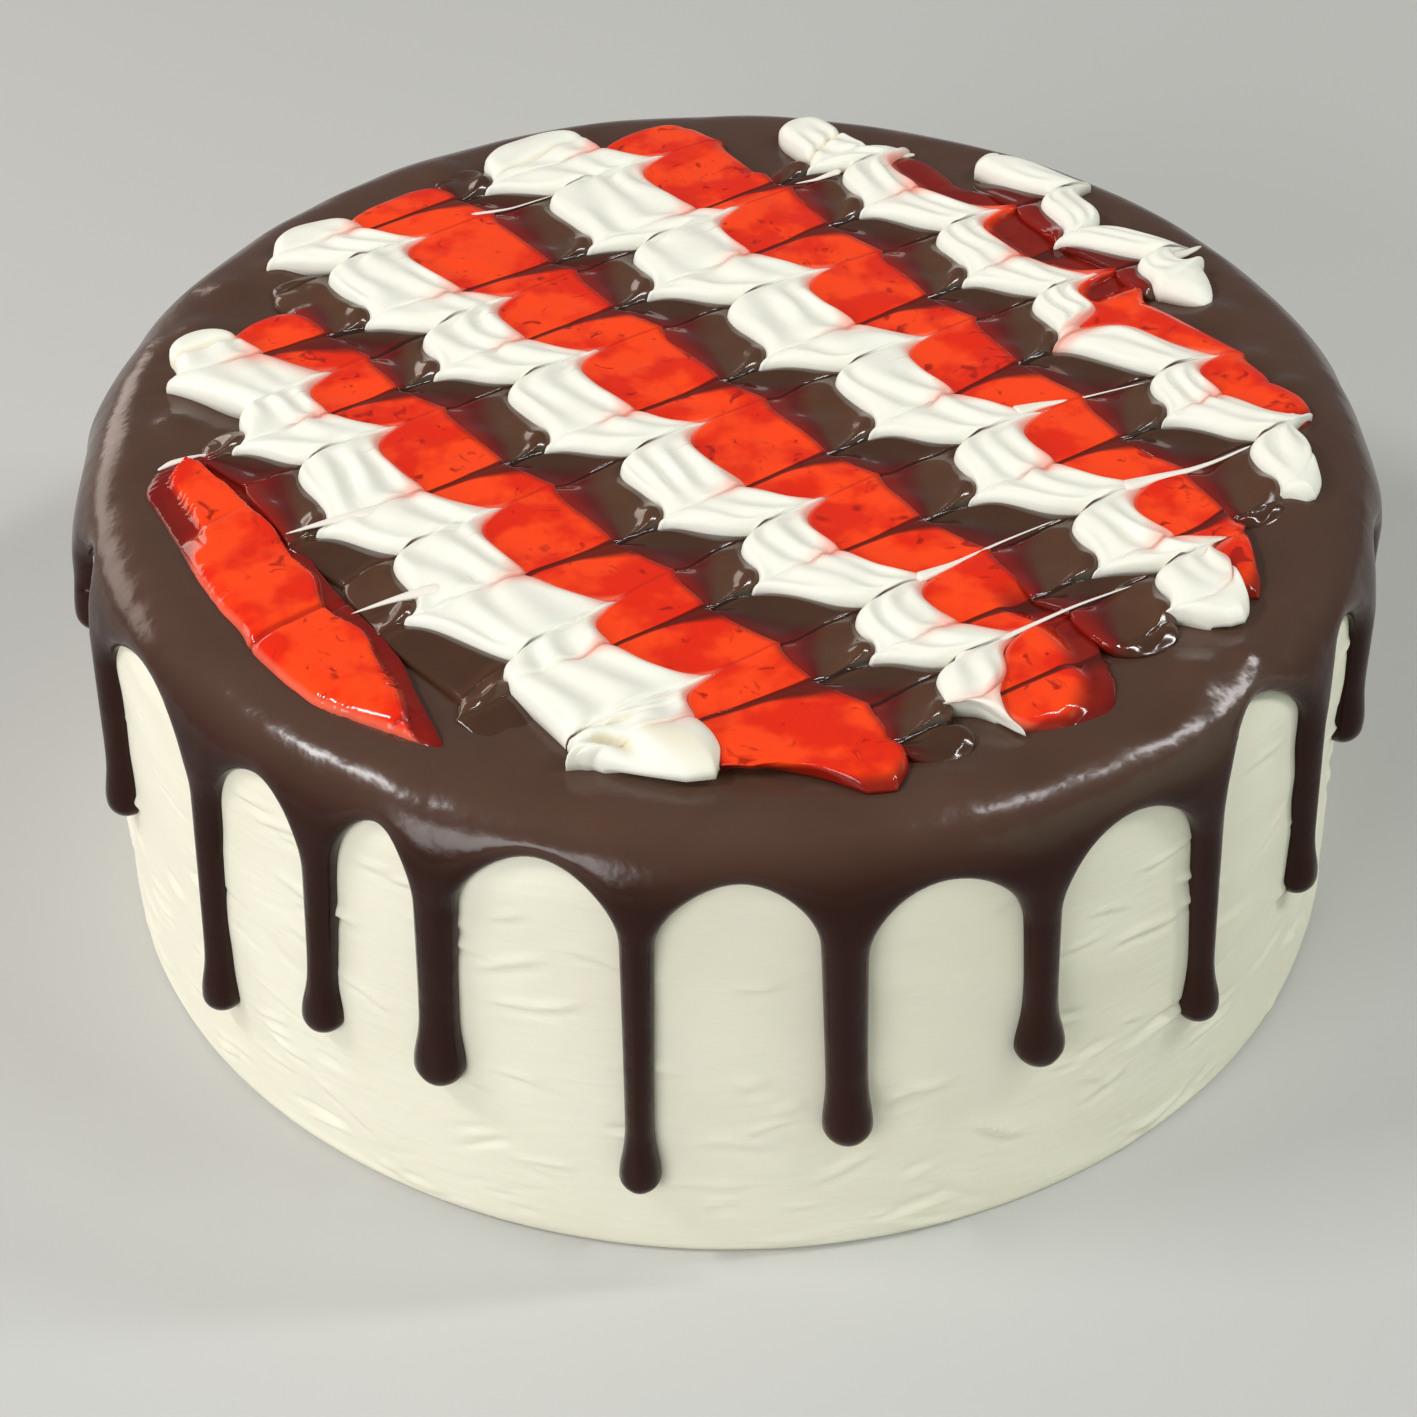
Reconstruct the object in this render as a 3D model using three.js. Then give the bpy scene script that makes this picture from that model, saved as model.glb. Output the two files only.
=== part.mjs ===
import * as THREE from "three";
import { mergeVertices } from "three/addons/utils/BufferGeometryUtils.js";

// A round drip cake, in millimetres. It stands on z = 0 with its axis on Z and its front towards -Y.
// The cake in its buttercream lies under a poured chocolate ganache that runs down in drips. On top lie
// piped lines of cream, jelly and chocolate, side by side, that a pick has dragged into feathers.

// Cake in its buttercream
const WALL_RADIUS = 100;
const CAKE_HEIGHT = 78;
const CAKE_SHOULDER = 9.5;
const FOOT_BEVEL = 1.2;
const CAKE_SEGMENTS = 60;
const SHOULDER_STEPS = 4;

// Poured ganache
const COAT_TOP = 81.3;
const COAT_RADIUS = 101.9;
const COAT_SHOULDER = 10;
const COAT_GAP = 0.5;
const LINING_SHOULDER = 8.5;
const BROW_Z = 80.5;
const CAP_EDGE_Z = 79.2;
const LINING_DROP = 1.3;

// Drips
const BAND = 2.5;
const ARCH_HEIGHT = 12;
const ARCH_RISES = [1, 0.9, 0.6, 0];
const STEM_HALF_WIDTH = 3.1;
const BULB_HALF_WIDTH = 3.7;
const BULB_LENGTH = 9;
const BULB_SHARE = 0.6;
const LIP = 0.9;
const DRIP_SWELL = 2.3;
const SWELL_LENGTH = 13;
// The bulb from its neck to its end: height as a share of its length, then how wide and how proud
const BULB_RUNGS = [
  { up: 1, wide: 0.86, proud: 1 },
  { up: 0.5, wide: 1, proud: 1 },
  { up: 0.15, wide: 0.78, proud: 0.8 },
  { up: 0, wide: 0.35, proud: 0.35 },
];
const OUTSIDE_COLUMNS = [-1, -0.7, -0.25, 0.25, 0.7, 1];
const INSIDE_COLUMNS = [-1, 0, 1];
// The drips on the front: angle from -Y towards +X at the root, lean in degrees, height of the end,
// and height of the arch on the drip's right
const FRONT_DRIPS = [
  { at: -80, lean: 0, end: 55, arch: 75 },
  { at: -68, lean: -2, end: 31, arch: 74 },
  { at: -48, lean: -2, end: 18, arch: 72.5 },
  { at: -34.5, lean: -1.5, end: 30, arch: 74 },
  { at: -23.5, lean: -0.8, end: 29.5, arch: 75 },
  { at: -7, lean: -0.1, end: 15.5, arch: 74 },
  { at: 8.7, lean: 1, end: 25, arch: 71.5 },
  { at: 25, lean: 1, end: 31.5, arch: 72.5 },
  { at: 41.5, lean: 2.5, end: 22.5, arch: 76.5 },
  { at: 57, lean: 3.5, end: 28, arch: 74 },
  { at: 72, lean: 1, end: 42, arch: 73 },
];
// The drips round the back keep the same spacing, lengths and unevenness
const BACK_DRIPS = 12;
const BACK_END = { mean: 29, spread: 9 };
const BACK_ARCH = { mean: 73.5, spread: 1.5 };
const BACK_ANGLE_SPREAD = 2.2;
const BACK_LEAN_SPREAD = 1.5;
const RANDOM_SEED = 7;

// Piped lines. A place on the top is given by two slanting coordinates from the middle of the cake:
// a along the pick's strokes, and b along the lines
const STROKE_DIRECTION = 34;
const LINE_DIRECTION = -51.5;
const STROKE_REACH = 3.6;
const BOW_HALF_LENGTH = 60;
// The strokes in order of b: which way each pulls, and how far it bows along the lines
const STROKES = [
  { b: -75.2, pull: -1, bow: 0 },
  { b: -70.2, pull: 1, bow: 0 },
  { b: -51.8, pull: -1, bow: 0 },
  { b: -46.8, pull: 1, bow: 0 },
  { b: -32.8, pull: -1, bow: 0 },
  { b: -25, pull: 1, bow: 1.5 },
  { b: -6.3, pull: -1, bow: -2 },
  { b: 1.7, pull: 1, bow: 1 },
  { b: 19.3, pull: -1, bow: -5 },
  { b: 27.5, pull: 1, bow: 4 },
  { b: 41, pull: -1, bow: 0 },
  { b: 52.3, pull: 1, bow: 1.5 },
  { b: 65.5, pull: -1, bow: 0 },
  { b: 70, pull: 1, bow: 0 },
  { b: 80, pull: -1, bow: 0 },
];
// The edges between the lines, from left to right: a at b = -LINE_SPAN and at b = LINE_SPAN, and how
// far a stroke pulls the edge to the left or to the right
const LINE_SPAN = 80;
const EDGES = [
  { start: -80, end: -91, left: 1, right: 1 },
  { start: -68, end: -77, left: 1.5, right: 1.5 },
  { start: -60, end: -69, left: 6, right: 4 },
  { start: -50.5, end: -50, left: 1, right: 6 },
  { start: -39, end: -31.5, left: 1.5, right: 2 },
  { start: -30.5, end: -20.5, left: 7, right: 6 },
  { start: -16, end: -8, left: 1, right: 7 },
  { start: 4, end: 4.5, left: 1.5, right: 2 },
  { start: 13.5, end: 18, left: 7, right: 6 },
  { start: 31.5, end: 29, left: 1, right: 8 },
  { start: 50.5, end: 40, left: 1.5, right: 2 },
  { start: 58.5, end: 53, left: 6, right: 4 },
  { start: 68.5, end: 62, left: 1, right: 7 },
  { start: 77, end: 71, left: 5, right: 2 },
  { start: 80.5, end: 80.5, left: 6, right: 4 },
  { start: 89, end: 87, left: 1, right: 5 },
];
// Each line fills the space between an edge and the next, from one b to another
const LINES = [
  { kind: "jelly", from: -38, to: 41 },
  { kind: "chocolate", from: -49, to: 62 },
  { kind: "cream", from: -65, to: 68 },
  { kind: "jelly", from: -64, to: 85 },
  { kind: "chocolate", from: -74, to: 79 },
  { kind: "cream", from: -85, to: 85 },
  { kind: "jelly", from: -86, to: 88 },
  { kind: "chocolate", from: -89, to: 82 },
  { kind: "cream", from: -88, to: 83 },
  { kind: "jelly", from: -80, to: 78 },
  { kind: "chocolate", from: -58, to: 66 },
  { kind: "cream", from: -67, to: 66 },
  { kind: "jelly", from: -48, to: 52 },
  { kind: "chocolate", from: -31, to: 22 },
  { kind: "cream", from: -35, to: 18 },
];
// Heights across each kind of line: cream from a ribbed nozzle has three ridges
const SECTIONS = {
  cream: [1.8, 4, 3.2, 4.3, 3.2, 4, 1.8],
  jelly: [1.4, 3.1, 3.1, 1.4],
  chocolate: [0.9, 2.6, 2.6, 0.9],
};
const LINE_GAP = 0.3;
const END_ROUNDING = 7;
const END_WIDTH = 0.3;
const END_HEIGHT = 0.45;
const END_LUMP = 0.25;
const END_CUTS = [0, 1, 3.5];
const NEAR_STROKE = 1.8;

const MATERIALS = {
  buttercream: { color: 0xe6e2ce, roughness: 0.62, metalness: 0 },
  ganache: { color: 0x3b2822, roughness: 0.28, metalness: 0 },
  chocolate: { color: 0x44302a, roughness: 0.3, metalness: 0 },
  cream: { color: 0xfbf8ec, roughness: 0.5, metalness: 0 },
  jelly: { color: 0xf22a12, roughness: 0.12, metalness: 0 },
};

// Skins of triangles

// Two triangles for each cell of a grid whose rows run downwards and whose columns run to the right,
// as seen from outside
function gridTriangles(rows, facesInwards = false) {
  const triangles = [];
  for (let i = 0; i + 1 < rows.length; i++) {
    for (let j = 0; j + 1 < rows[i].length; j++) {
      const [a, b] = [rows[i][j], rows[i][j + 1]];
      const [d, c] = [rows[i + 1][j], rows[i + 1][j + 1]];
      if (facesInwards) triangles.push([a, b, c], [a, c, d]);
      else triangles.push([a, c, b], [a, d, c]);
    }
  }
  return triangles;
}

// Triangles from a middle point to each step of an outline
function fanTriangles(middle, outline) {
  const steps = outline.slice(1);
  return steps.map((point, k) => [middle, outline[k], point]);
}

// One geometry from triangles that share corners, without those that have shrunk to a line
function welded(triangles) {
  const same = (p, q) => p.distanceTo(q) < 1e-4;
  const whole = triangles.filter(([a, b, c]) => !same(a, b) && !same(b, c) && !same(c, a));
  const geometry = mergeVertices(new THREE.BufferGeometry().setFromPoints(whole.flat()), 1e-3);
  geometry.computeVertexNormals();
  return geometry;
}

function polar(angle, r, z) {
  return new THREE.Vector3(r * Math.sin(angle), -r * Math.cos(angle), z);
}

// Cake

function cakeGeometry() {
  const profile = [
    new THREE.Vector2(0, 0),
    new THREE.Vector2(WALL_RADIUS - FOOT_BEVEL, 0),
    new THREE.Vector2(WALL_RADIUS, FOOT_BEVEL),
  ];
  for (let k = 0; k <= SHOULDER_STEPS; k++) {
    const angle = (Math.PI / 2) * (k / SHOULDER_STEPS);
    const x = WALL_RADIUS - CAKE_SHOULDER * (1 - Math.cos(angle));
    const z = CAKE_HEIGHT - CAKE_SHOULDER * (1 - Math.sin(angle));
    profile.push(new THREE.Vector2(x, z));
  }
  profile.push(new THREE.Vector2(0, CAKE_HEIGHT));
  return new THREE.LatheGeometry(profile, CAKE_SEGMENTS).rotateX(Math.PI / 2);
}

// Ganache

function randomSequence(seed) {
  let state = seed;
  return () => {
    state = (state * 16807) % 2147483647;
    return state / 2147483647;
  };
}

function allDrips() {
  const random = randomSequence(RANDOM_SEED);
  const uneven = (spread) => (2 * random() - 1) * spread;
  const drips = [...FRONT_DRIPS];
  const last = FRONT_DRIPS.at(-1).at;
  const around = FRONT_DRIPS[0].at + 360;
  for (let k = 1; k <= BACK_DRIPS; k++) {
    drips.push({
      at: last + ((around - last) * k) / (BACK_DRIPS + 1) + uneven(BACK_ANGLE_SPREAD),
      lean: uneven(BACK_LEAN_SPREAD),
      end: BACK_END.mean + uneven(BACK_END.spread),
      arch: BACK_ARCH.mean + uneven(BACK_ARCH.spread),
    });
  }
  return drips;
}

// Radius, at a height, of a wall with a rounded shoulder above it
function radiusAt(z, radius, top, rounding) {
  const up = Math.min(rounding, Math.max(0, z - (top - rounding)));
  return radius - rounding + Math.sqrt(rounding ** 2 - up ** 2);
}

function coatRadiusAt(z) {
  return radiusAt(z, COAT_RADIUS, COAT_TOP, COAT_SHOULDER);
}

function liningRadiusAt(z) {
  return radiusAt(z, WALL_RADIUS + COAT_GAP, CAKE_HEIGHT + COAT_GAP, LINING_SHOULDER);
}

// Height of the coat at a distance from the axis
function coatHeightAt(r) {
  const out = Math.min(COAT_SHOULDER, Math.max(0, r - (COAT_RADIUS - COAT_SHOULDER)));
  return COAT_TOP - COAT_SHOULDER + Math.sqrt(COAT_SHOULDER ** 2 - out ** 2);
}

// The rungs of a drip, from the shoulder down through its arches to the round end. Each has a height
// on its left and right, a reach to the left and right of the centre line, and how proud it stands.
function dripRungs(drip, arches, halves) {
  const rungs = [
    { z: [CAP_EDGE_Z, CAP_EDGE_Z], reach: halves, proud: 0 },
    { z: arches.map((arch) => arch + BAND), reach: halves, proud: 0 },
  ];
  for (const rise of ARCH_RISES) {
    const flare = 1 - Math.sqrt(1 - rise ** 2);
    rungs.push({
      z: arches.map((arch) => arch - (1 - rise) * ARCH_HEIGHT),
      reach: halves.map((half) => STEM_HALF_WIDTH + (half - STEM_HALF_WIDTH) * flare),
      proud: 1,
    });
  }
  const stemLength = Math.min(...arches) - ARCH_HEIGHT - drip.end;
  const bulbLength = Math.min(BULB_LENGTH, BULB_SHARE * stemLength);
  for (const { up, wide, proud } of BULB_RUNGS) {
    const z = drip.end + up * bulbLength;
    rungs.push({ z: [z, z], reach: [wide * BULB_HALF_WIDTH, wide * BULB_HALF_WIDTH], proud });
  }
  for (const rung of rungs) rung.arches = arches;
  return rungs;
}

// Height and angle of the place that lies across a rung, from -1 at its left to 1 at its right
function placeOn(drip, rung, across) {
  const between = ([left, right]) => THREE.MathUtils.lerp(left, right, (across + 1) / 2);
  const z = between(rung.z);
  const arch = between(rung.arches);
  const lean = drip.lean * Math.max(0, (arch - z) / (arch - drip.end));
  const reach = across < 0 ? rung.reach[0] : rung.reach[1];
  return { z, angle: THREE.MathUtils.degToRad(drip.at + lean) + (across * reach) / WALL_RADIUS };
}

// The side of the coat that shows: a band above the arches, and half round drips below
function outsidePoint(drip, rung, across) {
  const { z, angle } = placeOn(drip, rung, across);
  const swell = DRIP_SWELL * THREE.MathUtils.smoothstep(CAP_EDGE_Z - z, 0, SWELL_LENGTH);
  if (rung.proud === 0) return polar(angle, coatRadiusAt(z) + swell * (1 - across ** 2), z);
  const edge = liningRadiusAt(z) + LIP;
  const bulge = Math.cbrt(1 - Math.abs(across) ** 3) * rung.proud;
  return polar(angle, edge + (coatRadiusAt(z) + swell - edge) * bulge, z);
}

// The side of the coat that lies on the cake
function insidePoint(drip, rung, across) {
  const { z, angle } = placeOn(drip, rung, across);
  const low = rung.proud > 0 ? z : z - LINING_DROP;
  return polar(angle, liningRadiusAt(low), low);
}

// The small face under a drip
function dripEnd(outside, inside) {
  const middle = inside[1];
  return fanTriangles(middle, [inside.at(-1), ...[...outside].reverse(), inside[0]]);
}

// One sector of the coat, from the axis to the end of its drip
function coatSector(drip, before, after) {
  const halfArc = (from, to) => (THREE.MathUtils.degToRad((to.at - from.at + 360) % 360) / 2) * WALL_RADIUS;
  const rungs = dripRungs(drip, [before.arch, drip.arch], [halfArc(before, drip), halfArc(drip, after)]);
  const outside = rungs.map((rung) => OUTSIDE_COLUMNS.map((across) => outsidePoint(drip, rung, across)));
  const inside = rungs.map((rung) => INSIDE_COLUMNS.map((across) => insidePoint(drip, rung, across)));
  const ringAbove = (row, r, z) => row.map((point) => polar(Math.atan2(point.x, -point.y), r, z));
  const top = [
    ringAbove(outside[0], 0, COAT_TOP),
    ringAbove(outside[0], COAT_RADIUS - COAT_SHOULDER, COAT_TOP),
    ringAbove(outside[0], coatRadiusAt(BROW_Z), BROW_Z),
  ];
  const lining = [
    ringAbove(inside[0], 0, CAKE_HEIGHT + COAT_GAP),
    ringAbove(inside[0], WALL_RADIUS + COAT_GAP - LINING_SHOULDER, CAKE_HEIGHT + COAT_GAP),
  ];
  const free = [...rungs.keys()].filter((k) => rungs[k].proud > 0);
  return [
    ...gridTriangles([...top, ...outside]),
    ...gridTriangles([...lining, ...inside], true),
    ...gridTriangles(free.map((k) => [inside[k][0], outside[k][0]])),
    ...gridTriangles(free.map((k) => [outside[k].at(-1), inside[k].at(-1)])),
    ...dripEnd(outside.at(-1), inside.at(-1)),
  ];
}

function ganacheGeometry() {
  const drips = allDrips();
  const sectors = drips.map((drip, k) => {
    const before = drips[(k + drips.length - 1) % drips.length];
    const after = drips[(k + 1) % drips.length];
    return coatSector(drip, before, after);
  });
  return welded(sectors.flat());
}

// Piped lines

function direction(degrees) {
  const angle = THREE.MathUtils.degToRad(degrees);
  return new THREE.Vector2(Math.cos(angle), Math.sin(angle));
}

// Where a line is cut into sections: at each stroke, close beside it and half way to the next, but
// not between two strokes that lie close together
function stations() {
  const list = [-LINE_SPAN - 2];
  STROKES.forEach(({ b }, k) => {
    list.push(b);
    const next = STROKES[k + 1]?.b ?? LINE_SPAN + 8;
    if (next - b > 5 * NEAR_STROKE) list.push(b + NEAR_STROKE, (b + next) / 2, next - NEAR_STROKE);
  });
  return list;
}

// How far the strokes shift an edge at b: each pulls it into a peak that dies away on both sides
function draggedAt(edge, b) {
  let shift = 0;
  for (const stroke of STROKES) {
    const size = stroke.pull < 0 ? -edge.left : edge.right;
    shift += size * Math.exp(-Math.abs(b - stroke.b) / STROKE_REACH);
  }
  return shift;
}

function edgeAt(edge, b) {
  const along = (b + LINE_SPAN) / (2 * LINE_SPAN);
  return THREE.MathUtils.lerp(edge.start, edge.end, along) + draggedAt(edge, b);
}

// The bow of the strokes at b, shared out between those of the strokes before and after it
function bowAt(b) {
  const after = STROKES.findIndex((stroke) => stroke.b > b);
  if (after < 1) return 0;
  const [low, high] = [STROKES[after - 1], STROKES[after]];
  return THREE.MathUtils.lerp(low.bow, high.bow, (b - low.b) / (high.b - low.b));
}

// The place at a height above the coat that has the slanting coordinates a and b
function onTop(a, b, height) {
  const bowed = b + bowAt(b) * (a / BOW_HALF_LENGTH) ** 2;
  const plan = direction(STROKE_DIRECTION).multiplyScalar(a);
  plan.addScaledVector(direction(LINE_DIRECTION), bowed);
  return new THREE.Vector3(plan.x, plan.y, coatHeightAt(plan.length()) + height);
}

// A line's section at b: flat below, with its ridges above, narrower and lower at a round end
function lineSection(line, leftEdge, rightEdge, b) {
  const inward = Math.min(b - line.from, line.to - b, END_ROUNDING) / END_ROUNDING;
  const round = Math.sqrt(1 - (1 - inward) ** 2);
  const left = edgeAt(leftEdge, b) + LINE_GAP / 2;
  const right = edgeAt(rightEdge, b) - LINE_GAP / 2;
  const middle = (left + right) / 2;
  const half = ((right - left) / 2) * THREE.MathUtils.lerp(END_WIDTH, 1, round);
  const lift = THREE.MathUtils.lerp(END_HEIGHT, 1, round) + END_LUMP * Math.sin(Math.PI * inward);
  const heights = SECTIONS[line.kind];
  const ridges = heights.map((height, k) => {
    const across = (2 * k) / (heights.length - 1) - 1;
    return onTop(middle + across * half, b, LINE_GAP + height * lift);
  });
  return [onTop(middle - half, b, LINE_GAP), ...ridges, onTop(middle + half, b, LINE_GAP)];
}

function lineGeometry(line, leftEdge, rightEdge) {
  const clear = END_CUTS.at(-1) + 1;
  const cuts = [
    ...END_CUTS.map((cut) => line.from + cut),
    ...stations().filter((b) => b > line.from + clear && b < line.to - clear),
    ...END_CUTS.map((cut) => line.to - cut).reverse(),
  ];
  const sections = cuts.map((b) => lineSection(line, leftEdge, rightEdge, b));
  const rings = sections.map((section) => [...section, section[0]]);
  const middle = (section) => {
    const foot = section[0].clone().lerp(section.at(-1), 0.5);
    return foot.lerp(section[Math.floor(section.length / 2)], 0.5);
  };
  return welded([
    ...gridTriangles(rings),
    ...fanTriangles(middle(sections[0]), rings[0]),
    ...fanTriangles(middle(sections.at(-1)), [...rings.at(-1)].reverse()),
  ]);
}

// Assembly

const dripCake = new THREE.Group();

function addPiece(name, geometry, material) {
  const mesh = new THREE.Mesh(geometry, new THREE.MeshStandardMaterial(MATERIALS[material]));
  mesh.name = name;
  dripCake.add(mesh);
}

addPiece("cake", cakeGeometry(), "buttercream");
addPiece("ganache", ganacheGeometry(), "ganache");
const made = {};
LINES.forEach((line, k) => {
  made[line.kind] = (made[line.kind] ?? 0) + 1;
  addPiece(`${line.kind}_line_${made[line.kind]}`, lineGeometry(line, EDGES[k], EDGES[k + 1]), line.kind);
});

export default dripCake;
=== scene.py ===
# %% [markdown]
# # A chocolate drip cake
# A round cake in ivory buttercream stands under a poured coat of dark ganache that runs down its
# side in drips. On top lie piped lines of cream, red jelly and chocolate that a pick has dragged
# into feathers. This lesson dresses the plain CAD solids: each one is replaced by a finer mesh that
# is worked out from the same few measures, so every piece stays where the CAD has it. Blender
# counts in metres, and the sizes below are in millimetres until a mesh is made.

# %% Load the frame
import math
from collections import namedtuple

import bpy
import numpy as np
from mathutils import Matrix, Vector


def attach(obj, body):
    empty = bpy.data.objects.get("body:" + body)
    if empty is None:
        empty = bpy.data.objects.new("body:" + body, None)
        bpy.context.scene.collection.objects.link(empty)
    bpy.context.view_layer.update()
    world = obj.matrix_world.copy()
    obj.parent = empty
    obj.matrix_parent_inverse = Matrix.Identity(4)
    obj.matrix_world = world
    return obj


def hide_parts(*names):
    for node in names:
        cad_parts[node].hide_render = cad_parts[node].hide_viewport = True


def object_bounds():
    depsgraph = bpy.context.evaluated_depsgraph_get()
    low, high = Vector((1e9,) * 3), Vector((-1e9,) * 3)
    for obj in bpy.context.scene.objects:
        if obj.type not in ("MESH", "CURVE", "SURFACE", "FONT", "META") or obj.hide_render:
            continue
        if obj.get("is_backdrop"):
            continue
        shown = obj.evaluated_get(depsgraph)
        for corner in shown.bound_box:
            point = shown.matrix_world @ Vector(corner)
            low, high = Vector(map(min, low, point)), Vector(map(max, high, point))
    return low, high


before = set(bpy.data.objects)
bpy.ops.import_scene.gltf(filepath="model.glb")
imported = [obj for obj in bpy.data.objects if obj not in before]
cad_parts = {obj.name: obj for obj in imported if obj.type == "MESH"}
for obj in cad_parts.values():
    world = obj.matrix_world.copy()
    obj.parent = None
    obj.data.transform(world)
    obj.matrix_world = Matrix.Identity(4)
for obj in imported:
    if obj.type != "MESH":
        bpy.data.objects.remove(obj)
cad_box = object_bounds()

print("CAD nodes:", len(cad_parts))

# %% [markdown]
# ## Colours and nodes
# A chosen colour is sRGB, and Blender's shaders want linear light, so one function turns hex
# values into linear ones. A material is a tree of nodes. It could be drawn by hand in the node
# editor. In a script one small function adds a node with its settings and links, so that each
# recipe below stays short.

# %% Colours and nodes
def linear(hex_colour):
    """An sRGB colour such as "#e9e6d3" as linear red, green, blue and alpha."""
    parts = [int(hex_colour[k:k + 2], 16) / 255 for k in (1, 3, 5)]
    return [c / 12.92 if c <= 0.04045 else ((c + 0.055) / 1.055) ** 2.4 for c in parts] + [1]


def feed(tree, node, inputs):
    """Give a node its inputs. Each is a value, a socket or a node to link from, or the name of a
    number that the points of the mesh carry."""
    for socket, value in inputs.items():
        if isinstance(value, str):
            value = add(tree, "ShaderNodeAttribute", attribute_name=value).outputs["Fac"]
        elif isinstance(value, bpy.types.Node):
            value = value.outputs[0]
        if isinstance(value, bpy.types.NodeSocket):
            tree.links.new(value, node.inputs[socket])
        else:
            node.inputs[socket].default_value = value


def add(tree, kind, inputs=None, **settings):
    """A new node with its settings and its inputs."""
    node = tree.nodes.new(kind)
    for name, value in settings.items():
        setattr(node, name, value)
    feed(tree, node, inputs or {})
    return node


def new_material(name):
    """An empty material, its node tree, its Principled shader and the place on the object."""
    print("material:", name)
    material = bpy.data.materials.new(name)
    material.use_nodes = True
    tree = material.node_tree
    place = add(tree, "ShaderNodeTexCoord").outputs["Object"]
    return material, tree, tree.nodes["Principled BSDF"], place


print("ivory in linear light:", [round(c, 3) for c in linear("#e9e6d3")])

# %% [markdown]
# ## Meshes from grids
# Every piece of this cake is a grid of points wrapped round something: a side, a coat or a line. It
# could be sculpted by hand, but a grid worked out from measures keeps to the CAD's frame and comes
# out the same each time. One function gives the faces of a grid. Another turns it into a piece: it
# merges doubled points, shades it smooth and hides the CAD nodes that it replaces.

# %% Points and faces
def polar(angle, r, z):
    """Points at an angle from the front (-Y) towards +X, a distance from the axis and a height."""
    angle, r, z = np.broadcast_arrays(angle, r, z)
    return np.stack([r * np.sin(angle), -r * np.cos(angle), z], -1)


def grid_faces(rows, columns, wraps=False):
    """The quads between neighbouring rows and columns of a grid of points."""
    i, j = np.meshgrid(np.arange(rows - 1), np.arange(columns - (not wraps)), indexing="ij")
    k = (j + 1) % columns
    corners = [i * columns + j, i * columns + k, (i + 1) * columns + k, (i + 1) * columns + j]
    return np.stack(corners, -1).reshape(-1, 4)


print("quads in a grid of 3 by 4 points:", len(grid_faces(3, 4)))

# %% Pieces
WELD_DISTANCE = 2e-6  # metres


def make_piece(name, points, faces, material, nodes, fields=None, sharp=180):
    """A smooth mesh object that replaces CAD nodes. Fields are numbers that its points carry, and
    edges that bend by more than `sharp` degrees stay crisp."""
    mesh = bpy.data.meshes.new(name)
    mesh.from_pydata((points.reshape(-1, 3) / 1000).tolist(), [], [list(face) for face in faces])
    for field, values in (fields or {}).items():
        mesh.attributes.new(field, "FLOAT", "POINT").data.foreach_set("value", values.ravel())
    mesh.materials.append(material)
    piece = bpy.data.objects.new(name, mesh)
    bpy.context.scene.collection.objects.link(piece)
    piece.modifiers.new("weld", "WELD").merge_threshold = WELD_DISTANCE
    depsgraph = bpy.context.evaluated_depsgraph_get()
    piece.data = bpy.data.meshes.new_from_object(piece.evaluated_get(depsgraph))
    piece.modifiers.clear()
    bpy.data.meshes.remove(mesh)
    piece.data.name = name
    piece.data.shade_smooth()
    if sharp < 180:
        piece.data.set_sharp_from_angle(angle=math.radians(sharp))
    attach(piece, "root")
    for node in nodes:
        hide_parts(node)
    print(f"{name}: {len(piece.data.polygons)} faces")


# %% [markdown]
# Nothing made by hand is even. A sum of waves that run in many directions gives a soft unevenness
# of a chosen size. A noise texture could do the same, but only in the shader. These waves move the
# mesh itself, and they are the same on each run because their random numbers are seeded.

# %% Soft steps and soft unevenness
def smooth(x, none, full):
    """0 at `none` and 1 at `full`, on either side of it, with a soft step between them."""
    t = np.clip((x - none) / (full - none), 0, 1)
    return t * t * (3 - 2 * t)


def waves(x, y, size, seed, count=24):
    """Soft bumps about `size` across, between about -1 and 1, at points x, y in millimetres."""
    random = np.random.default_rng(seed)
    total = np.zeros(np.broadcast(x, y).shape)
    for _ in range(count):
        turn, phase = random.uniform(0, 2 * np.pi, 2)
        step = 2 * np.pi / (size * random.uniform(1.2, 3.2))
        total += np.sin(step * (x * np.cos(turn) + y * np.sin(turn)) + phase)
    return total / math.sqrt(count)


sample = waves(np.arange(200), np.zeros(200), 18, 11)
print("waves run from", round(sample.min(), 2), "to", round(sample.max(), 2))

# %% [markdown]
# ## The buttercream
# Buttercream is butter beaten with sugar. It was spread on the side and drawn smooth with a long
# knife, so it is faintly uneven, with short level ridges where the knife lifted. The side could be
# a turned cylinder with a bump texture. But low light rakes over these ridges, and a bump casts no
# shadow. So the side is a fine grid wrapped round the cake, and the marks are pushed out of it.

# %% Outline of the side
WALL_RADIUS, CAKE_HEIGHT, CAKE_SHOULDER, FOOT_BEVEL = 100, 78, 9.5, 1.2
HALF_WAY_ROUND = np.pi * WALL_RADIUS
ROW_STEP, POINTS_ROUND = 0.55, 600

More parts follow.
